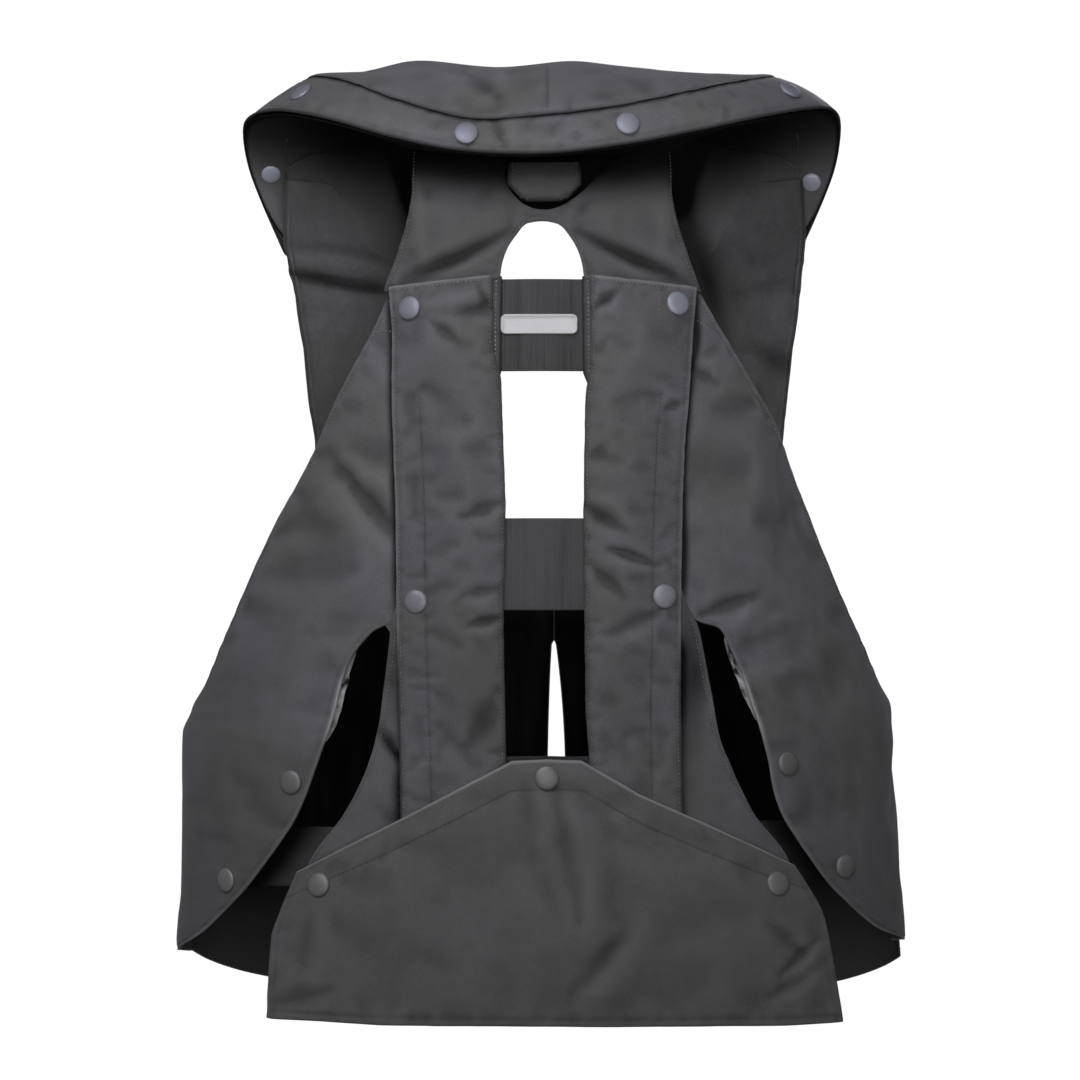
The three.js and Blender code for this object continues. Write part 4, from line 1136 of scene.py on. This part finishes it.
def tailRelief(at):
    broad = 0.9 * rumple(at.x, at.z, 90, 93) + 0.2 * rumple(at.x, at.z, 36, 97)
    broad = broad + 0.15 * crinkle(at.x, at.z, 44, 95)
    return 0.75 * foldField(tailGiven["folds"], at) + ease(at.top / 16) * broad


formPanel("tailFlap", tailGiven, tailSpot, tailRelief, dict(cloth=tailNylon, lining=liningCloth))

# Elastic straps inside the slits.
strapRows = dict(left=dict(start=30, end=66, z=-490), right=dict(start=32, end=68, z=-486))
strapGiven = dict(
    slot="elastic", across=160, down=16, thick=1.6, held="stretched", restsOn=["back_panel"],
    tall=39, droop=14, lift=-2.85, slitRow=7)


def strapRelief(at):
    return 0.18 * np.abs(np.sin(math.pi * at.top / 3)) - 0.2


for side in sides:
    def strapSpot(u, v, side=side):
        strap = strapRows[side.name]
        z = strap["z"] + (0.5 - v) * strapGiven["tall"] - strapGiven["droop"] * u ** 2
        return side.sign * mix(strap["start"], strap["end"], u), z, strapGiven["lift"] + 0 * z

    def strapShadow(at, side=side):
        slit = sideRows[side.name][strapGiven["slitRow"]:]
        rows = [dict(z=row["innerZ"], turn=row["inner"]) for row in slit]
        away = sideways(along(rows, "z", "turn", at.z), at.z) - side.sign * at.x
        return -0.1 - 0.88 * (1 - ease((away - 3) / 30))

    given = dict(strapGiven, nodes=["side_strap_" + side.name], shadow=strapShadow)
    formPanel("sideStrap" + side.title, given, strapSpot, strapRelief, elasticLook)

# Fronts, from the armhole and side seam to the deep neck and the narrow gap in the middle.
frontOuter = tableOf(
    "z left right",
    (-6, 112, 110), (-54, 109.5, 106.5), (-79, 112.5, 107), (-108, 114.5, 108.5), (-130, 116.8, 111),
    (-168, 119, 114), (-205, 122, 116.5), (-270, 121.5, 118), (-340, 113, 112), (-385, 104, 104),
    (-408, 100, 100), (-620, 100, 100))
frontInner = tableOf(
    "z left right",
    (-6, -77, 77), (-45, -72, 72), (-150, -60, 60), (-258, -38, 42), (-300, -14, 28), (-326, 9.2, 10.2),
    (-352, 9.2, 10.2), (-356, 7, 12), (-446, 3.8, 19.2), (-622, 1, 22))
frontHem = dict(
    left=dict(side=-577, middle=-622, flare=0, bow=0.6),
    right=dict(side=-583, middle=-622, flare=5.5, bow=1))
frontGiven = dict(
    slot="nylon", across=86, down=190, held="draped", restsOn=["shoulder_left", "shoulder_right"], seed=111,
    top=-6, bend=0.6,
    seams=[
        dict(edge="left", offset=3, start=0.1, end=0.66),
        dict(edge="left", offset=3.4, start=0.04, end=0.14, inside=True, tone=0.5),
        dict(edge="right", offset=4), dict(edge="bottom", offset=5)],
    edges=dict(left=-0.5))
frontFolds = dict(
    left=tableOf(
        foldColumns,
        (-192, -74, -112, -81, 7, -4),
        (-190, -63, -118, -69, 8, 3)),
    right=tableOf(foldColumns, (120, -92, 185, -84, 8, -0.5)))


def frontSpot(side):
    hem = frontHem[side.name]

    def spot(u, v):
        part = np.minimum(u / frontGiven["bend"], 1)
        low = mix(hem["side"], hem["middle"], mix(part, np.sin(part * np.pi / 2), hem["bow"]))
        z = mix(frontGiven["top"], low, v)
        outer = np.maximum(along(frontOuter, "z", side.name, z), sideSeam + seamTurn)
        inner = 180 - side.sign * turnAt(along(frontInner, "z", side.name, z), z)
        flare = hem["flare"] * ease((-500 - z) / 75) * (1 - ease(u / 0.3))
        return side.sign * mix(outer, inner, u), z, flare
    return spot


# Inner faces of the fronts: the painted shade under the collar, and more painted shade lower down inside
# the vest.
def frontInside(at):
    return innerShade(at) - 0.45 * ease((-250 - at.z) / 60) * ease((at.z + 560) / 45)


for side in sides:
    def frontRelief(at, side=side):
        around = at.x - at.y
        broad = 1.6 * rumple(around, at.z, 90, 113 + side.sign)
        broad = broad + 0.5 * rumple(around, at.z, 34, 117 + side.sign)
        seated = ease(at.left / 25) * ease(at.right / 25) * ease(at.top / 30)
        return seated * broad - foldField(frontFolds[side.name], at)

    given = dict(frontGiven, nodes=["front_panel_" + side.name], inside=frontInside)
    frontLook = dict(cloth=nylon, lining=insideCloth)
    formPanel("frontPanel" + side.title, given, frontSpot(side), frontRelief, frontLook)

# Shoulder saddles under the collar, rounding over into the fronts' inner faces.
shoulderRows = tableOf(
    "topX topY topZ lowX lowY lowZ",
    (60, -92, -8, 60, 92, -58),
    (90, -87, -3, 78, 89, -60),
    (106, -62, 11.5, 99, 85, -62),
    (120, -38, 14.5, 120, 79, -64),
    (140, -8, 15, 142, 71, -64),
    (164, 14, 13.5, 165, 59, -63),
    (189.5, 22, 2.5, 190, 36, -60))
shoulderGiven = dict(
    slot="lining", across=60, down=40, outer=0.2, inner=-1.4, held="draped", restsOn=["yoke"], sag=15,
    edges=dict(top=-0.12, right=-0.12), edgeWide=2, shadow=innerShade)


def insideVest(u):
    return np.array([0, 0, -200])


for side in sides:
    def shoulderSurface(u, v, side=side):
        top, low = [[through(shoulderRows, end + axis, u) for axis in "XYZ"] for end in ("top", "low")]
        x, y, z = [mix(near, far, v) for near, far in zip(top, low)]
        sag = shoulderGiven["sag"] * np.sin(np.pi * v)
        return np.stack([side.sign * x, y + sag, z + 0.6 * sag], axis=-1)

    def shoulderRelief(at, side=side):
        return 0.8 * rumple(at.x, at.y + at.z, 60, 123 + side.sign)

    given = dict(shoulderGiven, nodes=["shoulder_" + side.name])
    innerLook = dict(cloth=innerNylon, lining=innerNylon)
    freePanel("shoulder" + side.title, given, shoulderSurface, insideVest, shoulderRelief, innerLook)

# Collar: lines from the middle of the back over the shoulder to the end on the chest.
rimLine = mirrored(tableOf(
    "x y z rise",
    (0, -127, -14.4), (55.6, -126, -12, 4), (101, -120, -2.2, 3.8), (143.7, -106, 11.8, 0.9),
    (180, -76, 23.5, 1), (206, -38, 27.5, 4.5), (218, 5, 23.5, 2.5), (217, 38, -2), (198, 60, -49),
    (191, 48, -58)))
seamLine = mirrored(tableOf(
    "x y z rise",
    (0, -118.6, 10.5), (48, -116.8, 8.5, 8), (97, -109, 22.5, 5.5), (126, -92, 36.5, 1),
    (148, -71, 46.5, -1), (166, -40, 53), (180, -2, 48), (181, 36, 23), (164, 74, -40), (158, 68, -62)))
ridgeLine = mirrored(tableOf(
    "x y z rise",
    (0, -62, 56.5), (50, -60, 57.5, -1), (95, -52, 61, -6), (123, -38, 58, -5), (143, -20, 56, -2),
    (155, 0, 54), (160, 25, 44), (155, 56, 18), (137, 88, -42), (125, 80, -65)))
neckLine = mirrored(tableOf(
    "x y z",
    (0, -85, 3.8), (32, -82.5, 4), (51, -62, 4.6), (60, -40, 6.6), (66.5, -16, 7), (71, 4, 6.8),
    (76, 32, 3), (79, 66.5, -7), (70, 91, -50), (69, 93, -64)))
baseLine = mirrored(tableOf(
    "x y z",
    (0, -99, -9), (50, -95, -8), (90, -87, -2), (106, -62, 9.5), (120, -38, 12.5), (138, -8, 12.5),
    (160, 20, 12), (178, 49, -5), (172, 61, -43), (174, 57, -54)))


def bulged(start, end, part, height, centre):
    spot = mix(start, end, part[..., None])
    return spot + unit(spot - centre) * (height * 4 * part * (1 - part))[..., None]


ridgePart, outerPart = 0.42, 0.58  # shares of the collar's width inside and outside its ridge
ridgeWaves = tableOf(
    "x wide high",
    (-79, 24, 1.8), (20, 26, 3.8), (-124, 18, -2.6), (110, 26, -1.6), (-30, 16, -0.8))


def ridgeAt(u):
    ridge = pointThrough(ridgeLine, u)
    for wave in ridgeWaves:
        ridge[..., 2] += wave["high"] * bell((ridge[..., 0] - wave["x"]) / wave["wide"])
    return ridge


def pouchCentre(u):
    return mix(pointThrough(baseLine, u), pointThrough(ridgeLine, u), 0.35)


def topSurface(u, v):
    ridge, centre = ridgeAt(u), pouchCentre(u)
    inside = bulged(pointThrough(neckLine, u), ridge, np.clip(v / ridgePart, 0, 1), 2.5, centre)
    beyond = np.clip((v - ridgePart) / outerPart, 0, 1)
    outside = bulged(ridge, pointThrough(seamLine, u), beyond, 5, centre)
    return np.where((v < ridgePart)[..., None], inside, outside)


def bandSurface(u, v):
    bulge = 4 - 3.4 * bell((u - 0.235) / 0.07)
    seam, rim = pointThrough(seamLine, u), pointThrough(rimLine, u)
    return bulged(seam, rim, mix(0.02, 1, v), bulge, pouchCentre(u))


def baseSurface(u, v):
    out = np.abs(2 * u - 1)
    turned = ease((out - 0.55) / 0.25)
    rim = pointThrough(rimLine, u)
    rim = rim - np.stack([0 * u, 0.5 * turned, 0.5 * (1 - turned)], axis=-1)
    first = 0.012 + 0.33 * ease((out - 0.82) / 0.12)
    return mix(rim, pointThrough(baseLine, u), mix(first, 1, v)[..., None])


topGiven = dict(
    nodes=["collar_top"], slot="nylon", across=440, down=64, outer=2.4, inner=0.6, fill=0.4, seed=131,
    sim=dict(pitch=5, spare=0.002, stiff=10, most=4, push=0.1, edges=["top", "bottom"]),
    seams=[dict(edge="bottom", offset=3, plain=True, depth=0.5)], edges=dict(bottom=-1), edgeWide=1.8,
    folds=tableOf(
        foldColumns,
        (-50, 46, -32, 30, 9, -2.2, 1.2),
        (-66, 42, -44, 26, 9, 1.2),
        (3.4, 56, 4.4, 14, 1.1, -0.8)))


def topRelief(at):
    shown = ease((at.v - ridgePart) / 0.1) * ease(at.bottom / 8) * ease((-at.y - 20) / 30)
    broad = 0.9 * rumple(at.x, at.y + at.z, 60, 133) + 0.25 * crinkle(at.x, at.y + at.z, 40, 135)
    return shown * (broad + foldField(topGiven["folds"], at))


freePanel("collarTop", topGiven, topSurface, pouchCentre, topRelief, nylonLook)

bandGiven = dict(
    nodes=["collar_band"], slot="nylon", across=440, down=26, outer=2.4, inner=0.6, fill=0.3, seed=141,
    sim=dict(pitch=4.5, spare=0.0015, stiff=10, most=3, edges=["top", "bottom"]),
    edges=dict(top=-1, bottom=-0.7), edgeWide=1.6,
    seams=[
        dict(edge="bottom", offset=3.4, depth=0.3, plain=True),
        dict(edge="top", offset=2.4, plain=True, depth=0.4)],
    folds=tableOf(foldColumns, (-32, 7, -25, -8, 6, -1.2, 0.8)))


def bandRelief(at):
    broad = 0.6 * rumple(at.x, at.y + at.z, 52, 143) + 0.1 * crinkle(at.x, at.y + at.z, 30, 145)
    folds = foldField(bandGiven["folds"], at) * (at.y < -60)
    return ease(at.top / 8) * ease(at.bottom / 6) * broad + folds


freePanel("collarBand", bandGiven, bandSurface, pouchCentre, bandRelief, nylonLook)

baseGiven = dict(
    nodes=["collar_base"], slot="lining", across=300, down=20, outer=2.2, inner=0.4, held="stretched",
    restsOn=["collar_band"], seed=151, shadow=lambda at: underRim(at, **deepRim), edges=dict(top=-1),
    seams=[
        dict(edge="top", offset=30, start=0.12, end=0.2, depth=0.3, tone=0.35),
        dict(edge="top", offset=30, start=0.8, end=0.88, depth=0.3, tone=0.35)])


def baseRelief(at):
    return ease(at.top / 8) * ease(at.bottom / 8) * 0.6 * rumple(at.x, at.y + at.z, 40, 153)


baseLook = dict(cloth=innerNylon, lining=liningCloth)
freePanel("collarBase", baseGiven, baseSurface, pouchCentre, baseRelief, baseLook)
print("cloth laid")


def ringFaces(rings, count):
    turned = [(k, (k + 1) % count) for k in range(count)]
    starts = [(ring * count, (ring + 1) * count) for ring in range(rings - 1)]
    return [(low + k, low + n, high + n, high + k) for low, high in starts for k, n in turned]


# A rounded slab on the form, from rings that step in and up; used for the plate and the clasp.
def slabPiece(name, given, look):
    corner, half, tall = given["corner"], given["half"], given["tall"] / 2
    points, steps = [], 6
    for inset, rise in given["rings"]:
        near = max(corner - inset, 0.2)
        for quarter, (sx, sz) in enumerate([(1, 1), (-1, 1), (-1, -1), (1, -1)]):
            for step in range(steps + 1):
                angle = math.pi / 2 * (quarter + step / steps)
                x = given["x"] + sx * max(half - inset - near, 0) + near * math.cos(angle)
                z = given["z"] + sz * max(tall - inset - near, 0) + near * math.sin(angle)
                points.append((x, z, given["lift"] + rise))
    table = np.array(points)
    turn = turnAt(table[:, 0], table[:, 1])
    turn = 180 - turn if given.get("front") else turn
    place = onForm(turn, table[:, 1], table[:, 2])
    count = 4 * (steps + 1)
    faces = ringFaces(len(given["rings"]), count)
    last = (len(given["rings"]) - 1) * count
    for base, way in ((0, -1), (last, 1)):
        for k in range(count // 2 - 1):
            face = (base + k, base + k + 1, base + count - 2 - k, base + count - 1 - k)
            faces.append(face[::way])
    quads = np.array(faces)
    if given.get("front"):
        quads = quads[:, ::-1]
    piece = meshPiece(name, place, quads, [look])
    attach(piece, "root")
    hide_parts(given["node"])


plateGiven = dict(
    node="label_plate", slot="label_plate", x=-2, z=-128.5, half=25.6, tall=13.4, corner=3.6, lift=2.4,
    rings=[(0.2, 0), (0, 0.4), (0, 1.3), (0.35, 1.75), (0.9, 1.85), (1.4, 1.7), (1.7, 1.4), (5, 1.4)])
claspGiven = dict(
    node="front_clasp", slot="clasp_plastic", x=11, z=-505, half=30, tall=30, corner=5, lift=2.8,
    front=True,
    rings=[(0.6, 0), (0, 0.8), (0, 5.6), (0.7, 6.6), (2, 7), (6, 7), (7, 6.2), (12, 6.2)])
slabPiece("labelPlate", plateGiven, platePlastic)
slabPiece("frontClasp", claspGiven, claspPlastic)

# Crinkled bladder cloth that shows in the slit mouths, under the wing's edge.
bladderGiven = dict(
    across=14, down=90, start=dict(left=0.475, right=0.455), end=0.6, width=14, within=2.4, out=6,
    spread=0.3, sink=1.8, curl=5, crumple=1.6, thick=0.9, leastWide=0.0101)
for side in sides:
    u, v = gridOf(bladderGiven["across"], bladderGiven["down"])
    row = mix(bladderGiven["start"][side.name], bladderGiven["end"], v)
    turn, z, lift = sideSpot(side)(0 * u, row)
    swell = np.sin(np.pi * v) ** 0.6
    shift = mix(bladderGiven["within"], -bladderGiven["out"] * 0.35, u) * swell + 0.6
    wave = bladderGiven["crumple"] * rumple(u * bladderGiven["width"], z, 7, 161 + side.sign) * swell
    lifted = lift - bladderGiven["sink"] - bladderGiven["curl"] * u * u * swell + wave
    turned = turn + side.sign * shift * bladderGiven["spread"]
    over, under = onForm(turned, z, lifted), onForm(turned, z, lifted - bladderGiven["thick"])
    mark = np.zeros_like(u)
    uv = np.stack([u * bladderGiven["width"], z], axis=-1)
    name = "slitBladder" + side.title
    # Crumple heights go in as the crease mark: painted shade and highlight on the crinkles.
    piece = wallPiece(name, over, under, bladderCloth, bladderCloth, mark, mark, wave / 2, uv)
    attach(piece, "root")
    at = layout(over, u, v)
print("slabs and bladder made")


# Node groups: rows of stitches along the seam lines, and caps on the snap places.
def newGroup(name, inputs):
    tree = bpy.data.node_groups.new(name, "GeometryNodeTree")
    tree.interface.new_socket("Geometry", in_out="INPUT", socket_type="NodeSocketGeometry")
    tree.interface.new_socket("Geometry", in_out="OUTPUT", socket_type="NodeSocketGeometry")
    named = {}
    for key, kind in inputs.items():
        named[key] = tree.interface.new_socket(key, in_out="INPUT", socket_type=kind).identifier
    book = NodeBook(tree)
    source = tree.nodes.new("NodeGroupInput")
    given = {socket.name: Wire(book, socket) for socket in source.outputs if socket.name}
    return tree, book, given, named


def closeGroup(book, shape, look):
    real = book.add("GeometryNodeRealizeInstances", None, {0: shape})
    dressed = book.add("GeometryNodeSetMaterial", None, {"Geometry": real, "Material": look})
    book.add("NodeGroupOutput", None, {0: dressed})


def runGroup(piece, tree, named, values):
    modifier = piece.modifiers.new(tree.name, "NODES")
    modifier.node_group = tree
    for key, value in values.items():
        modifier[named[key]] = value
    depsgraph = bpy.context.evaluated_depsgraph_get()
    made = bpy.data.meshes.new_from_object(
        piece.evaluated_get(depsgraph), preserve_all_data_layers=True, depsgraph=depsgraph)
    piece.modifiers.clear()
    old = piece.data
    piece.data = made
    bpy.data.meshes.remove(old)
    made.polygons.foreach_set("use_smooth", np.ones(len(made.polygons), bool))


def guidePiece(name, points, outs, edges, marks):
    mesh = bpy.data.meshes.new(name)
    mesh.from_pydata((points * mm).tolist(), edges, [])
    outward = mesh.attributes.new("out", "FLOAT_VECTOR", "POINT")
    outward.data.foreach_set("vector", outs.astype(np.float32).ravel())
    addMarks(mesh, marks)
    return placed(name, mesh)


# The place of a face's grid that lies nearest to a spot seen from behind.
def nearest(over, x, z):
    miss = np.hypot(over[..., 0] - x, over[..., 2] - z)
    return np.unravel_index(np.argmin(miss), miss.shape)


stitchGiven = dict(Pitch=0.0028, Length=0.0018, Width=0.0007, Thread=threadLook)
stitchTree, book, given, named = newGroup("stitchRow", dict(
    Pitch="NodeSocketFloat", Length="NodeSocketFloat", Width="NodeSocketFloat",
    Thread="NodeSocketMaterial"))
line = book.add("GeometryNodeMeshToCurve", None, {0: given["Geometry"]})
spaced = book.add("GeometryNodeResampleCurve", dict(mode="LENGTH"), dict(Curve=line, Length=given["Pitch"]))
heading = book.add("GeometryNodeInputTangent")
turned = book.add(
    "FunctionNodeAlignRotationToVector", dict(axis="X", pivot_axis="Z"),
    dict(Rotation=book.faced(), Vector=heading))
bead = book.add("GeometryNodeMeshUVSphere", None, {"Segments": 6, "Rings": 4, "Radius": 0.5})
size = book.add("ShaderNodeCombineXYZ", None, {0: given["Length"], 1: given["Width"], 2: given["Width"]})
closeGroup(book, book.repeated(spaced, bead, turned, size), given["Thread"])

# Short rows that close a corner or hold a fold.
shortRows = tableOf(
    "on x z toX toZ",
    ("sidePanelLeft", -111.5, -131.5, -101.5, -131.5), ("backFlapRight", 79, -104, 78.6, -121),
    ("sidePanelRight", 106, -124, 113, -129))
shortTone, stitchLift = 0.7, 0.12
for row in shortRows:
    over, normal = overFaces[row["on"]]
    parts = np.linspace(0, 1, 8)
    x, z = mix(row["x"], row["toX"], parts), mix(row["z"], row["toZ"], parts)
    spots = list(dict.fromkeys(nearest(over, *spot) for spot in zip(x, z)))
    line, out = [np.array([face[spot] for spot in spots]) for face in (over, normal)]
    stitchLines.append((line, out, shortTone))

points = np.concatenate([line + stitchLift * out for line, out, tone in stitchLines])
outs = np.concatenate([out for line, out, tone in stitchLines])
tones = np.concatenate([np.full(len(line), tone) for line, out, tone in stitchLines])
edges, start = [], 0
for line, out, tone in stitchLines:
    edges += [(start + k, start + k + 1) for k in range(len(line) - 1)]
    start += len(line)
stitches = guidePiece("stitchRows", points, outs, edges, dict(tone=tones))
runGroup(stitches, stitchTree, named, stitchGiven)
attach(stitches, "root")
print("stitches", len(stitches.data.polygons))

# Press-stud caps on the finished cloth.
# The tone column brightens or darkens single caps: painted light and shade for how much light each cap
# catches.
clothCaps = tableOf(
    "node on x z tone",
    ("snap_flap_left_upper", "backFlapLeft", -90, -117.5),
    ("snap_flap_left_lower", "backFlapLeft", -84.5, -316),
    ("snap_flap_right_upper", "backFlapRight", 91, -113.5, 1.2),
    ("snap_flap_right_lower", "backFlapRight", 82.8, -312, 1.2),
    ("snap_wing_left_upper", "sidePanelLeft", -171, -438.5),
    ("snap_wing_left_lower", "sidePanelLeft", -218.5, -511, 1.3),
    ("snap_wing_right_upper", "sidePanelRight", 167, -426.5, 0.85),
    ("snap_wing_right_lower", "sidePanelRight", 209.5, -499.5),
    ("snap_tail_middle", "tailFlap", 2.6, -433.5), ("snap_tail_left", "tailFlap", -151, -507),
    ("snap_tail_right", "tailFlap", 160, -507))
collarCaps = tableOf(
    "node on station down tone size",
    ("snap_collar_back_left", "collarBand", -0.99, 0.47),
    ("snap_collar_back_right", "collarBand", 1.12, 0.49),
    ("snap_collar_shoulder_left", "collarBand", -4.06, 0.5),
    ("snap_collar_shoulder_right", "collarBand", 4.16, 0.5),
    ("snap_collar_front_left", "collarBand", -7.1, 0.5),
    ("snap_collar_front_right", "collarBand", 7.2, 0.5),
    ("snap_collar_inside_left", "collarBase", -6.82, 0.33, 2.4, 0.87),
    ("snap_collar_inside_right", "collarBase", 7.02, 0.37, 2.4, 0.87))
allCaps = clothCaps + collarCaps
collarSpans = len(rimLine) - 1
spots, outs = [], []
for cap in allCaps:
    over, normal = overFaces[cap["on"]]
    if "x" in cap:
        row, column = nearest(over, cap["x"], cap["z"])
    else:
        column = int(round((0.5 + cap["station"] / collarSpans) * (over.shape[1] - 1)))
        row = int(round(cap["down"] * (over.shape[0] - 1)))
    near = normal[max(row - 2, 0):row + 3, max(column - 2, 0):column + 3].reshape(-1, 3).mean(axis=0)
    spots.append(over[row, column])
    outs.append(near / np.linalg.norm(near))
capMarks = {key: np.array([cap.get(key, 1) for cap in allCaps]) for key in ("tone", "size")}

capProfile = [(7.6, -0.8), (8.2, 0.3), (8.3, 0.9), (7.9, 1.55), (6.9, 2.15), (4.4, 2.65), (1.4, 2.85)]
capSides = 20
capTurns = [2 * math.pi * k / capSides for k in range(capSides)]
capPoints = [(r * math.cos(turn), r * math.sin(turn), h) for r, h in capProfile for turn in capTurns]
lastRing = (len(capProfile) - 1) * capSides
capEnds = [tuple(range(lastRing, lastRing + capSides)), tuple(range(capSides - 1, -1, -1))]
capMesh = bpy.data.meshes.new("capShape")
capMesh.from_pydata(
    (np.array(capPoints) * mm).tolist(), [], ringFaces(len(capProfile), capSides) + capEnds)
capShape = placed("capShape", capMesh)

capTree, book, given, named = newGroup("snapCaps", dict(Cap="NodeSocketObject", Metal="NodeSocketMaterial"))
places = book.add("GeometryNodeMeshToPoints", None, {"Mesh": given["Geometry"]})
shape = book.add("GeometryNodeObjectInfo", None, {"Object": given["Cap"]}, "Geometry")
caps = book.repeated(places, shape, book.faced(), book.named("size", "FLOAT"))
closeGroup(book, caps, given["Metal"])
snaps = guidePiece("snapCaps", np.array(spots), np.array(outs), [], capMarks)
runGroup(snaps, capTree, named, dict(Cap=capShape, Metal=studMetal))
bpy.data.objects.remove(capShape)
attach(snaps, "root")
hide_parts(*[cap["node"] for cap in allCaps])
print("snaps", len(snaps.data.polygons))


# Pale stage, soft light and the camera at the photograph's angle.
def stagePiece(name, points, look):
    mesh = bpy.data.meshes.new(name)
    rows = len(points) // 2
    mesh.from_pydata(points, [], [(2 * k, 2 * k + 1, 2 * k + 3, 2 * k + 2) for k in range(rows - 1)])
    mesh.materials.append(look)
    piece = placed(name, mesh)
    return piece


stageLook, book = newLook("palePaper")
glow = book.add("ShaderNodeEmission", None, {"Color": (1, 1, 1, 1), "Strength": 1.02})
book.add("ShaderNodeOutputMaterial", None, {0: glow})
floorZ, backY, bend = -0.74, 2.6, 0.8
turns = np.linspace(0, math.pi / 2, 9)
sweep = [(backY - bend + bend * math.sin(turn), floorZ + bend - bend * math.cos(turn)) for turn in turns]
sweep = [(-4.5, floorZ)] + sweep + [(backY, 3.5)]
backdrop = stagePiece("paleSweep", [(x, y, z) for y, z in sweep for x in (-5, 5)], stageLook)
backdrop.visible_diffuse = False
backdrop.visible_glossy = False
backdrop.visible_shadow = False


def softLight(name, place, aim, size, power, tint, spread=180):
    lamp = bpy.data.lights.new(name, "AREA")
    lamp.shape = "RECTANGLE"
    lamp.size, lamp.size_y = size
    lamp.energy = power
    lamp.color = tint
    lamp.spread = math.radians(spread)
    piece = placed(name, lamp)
    piece.location = place
    piece.visible_camera = False
    x, y, z = np.array(aim) - np.array(place)
    piece.rotation_euler = (math.atan2(math.hypot(x, y), -z), 0, math.atan2(y, x) - math.pi / 2)


softLight("keySoft", (-0.45, -1.25, 0.75), (0, 0, -0.15), (1.0, 0.8), 20, (1, 0.99, 1.05))
softLight("lowSoft", (0.3, -2.2, -0.7), (0, 0, -0.15), (1.6, 0.8), 7, (1, 1, 0.98))
softLight("collarSoft", (0.2, -1.7, -0.12), (0.03, 0, 0), (0.7, 0.4), 1, (1, 0.99, 1.03), 50)
softLight("frontSoft", (0.5, 1.9, 0.5), (0, 0, -0.25), (1.4, 1.0), 22, (1, 1, 1.02))

world = bpy.data.worlds.new("paleSky")
bpy.context.scene.world = world
world.use_nodes = True
world.node_tree.nodes["Background"].inputs[0].default_value = (1, 1, 1, 1)
world.node_tree.nodes["Background"].inputs[1].default_value = 0.14

camera = bpy.data.cameras.new("photoCamera")
camera.sensor_width = 36
camera.lens = 68.3
viewer = placed("photoCamera", camera)
viewer.location = (-0.0014, -1.5, -0.274)
viewer.rotation_euler = (math.pi / 2, 0, 0)
bpy.context.scene.camera = viewer
bpy.context.scene.view_settings.view_transform = "Standard"
print("stage set")
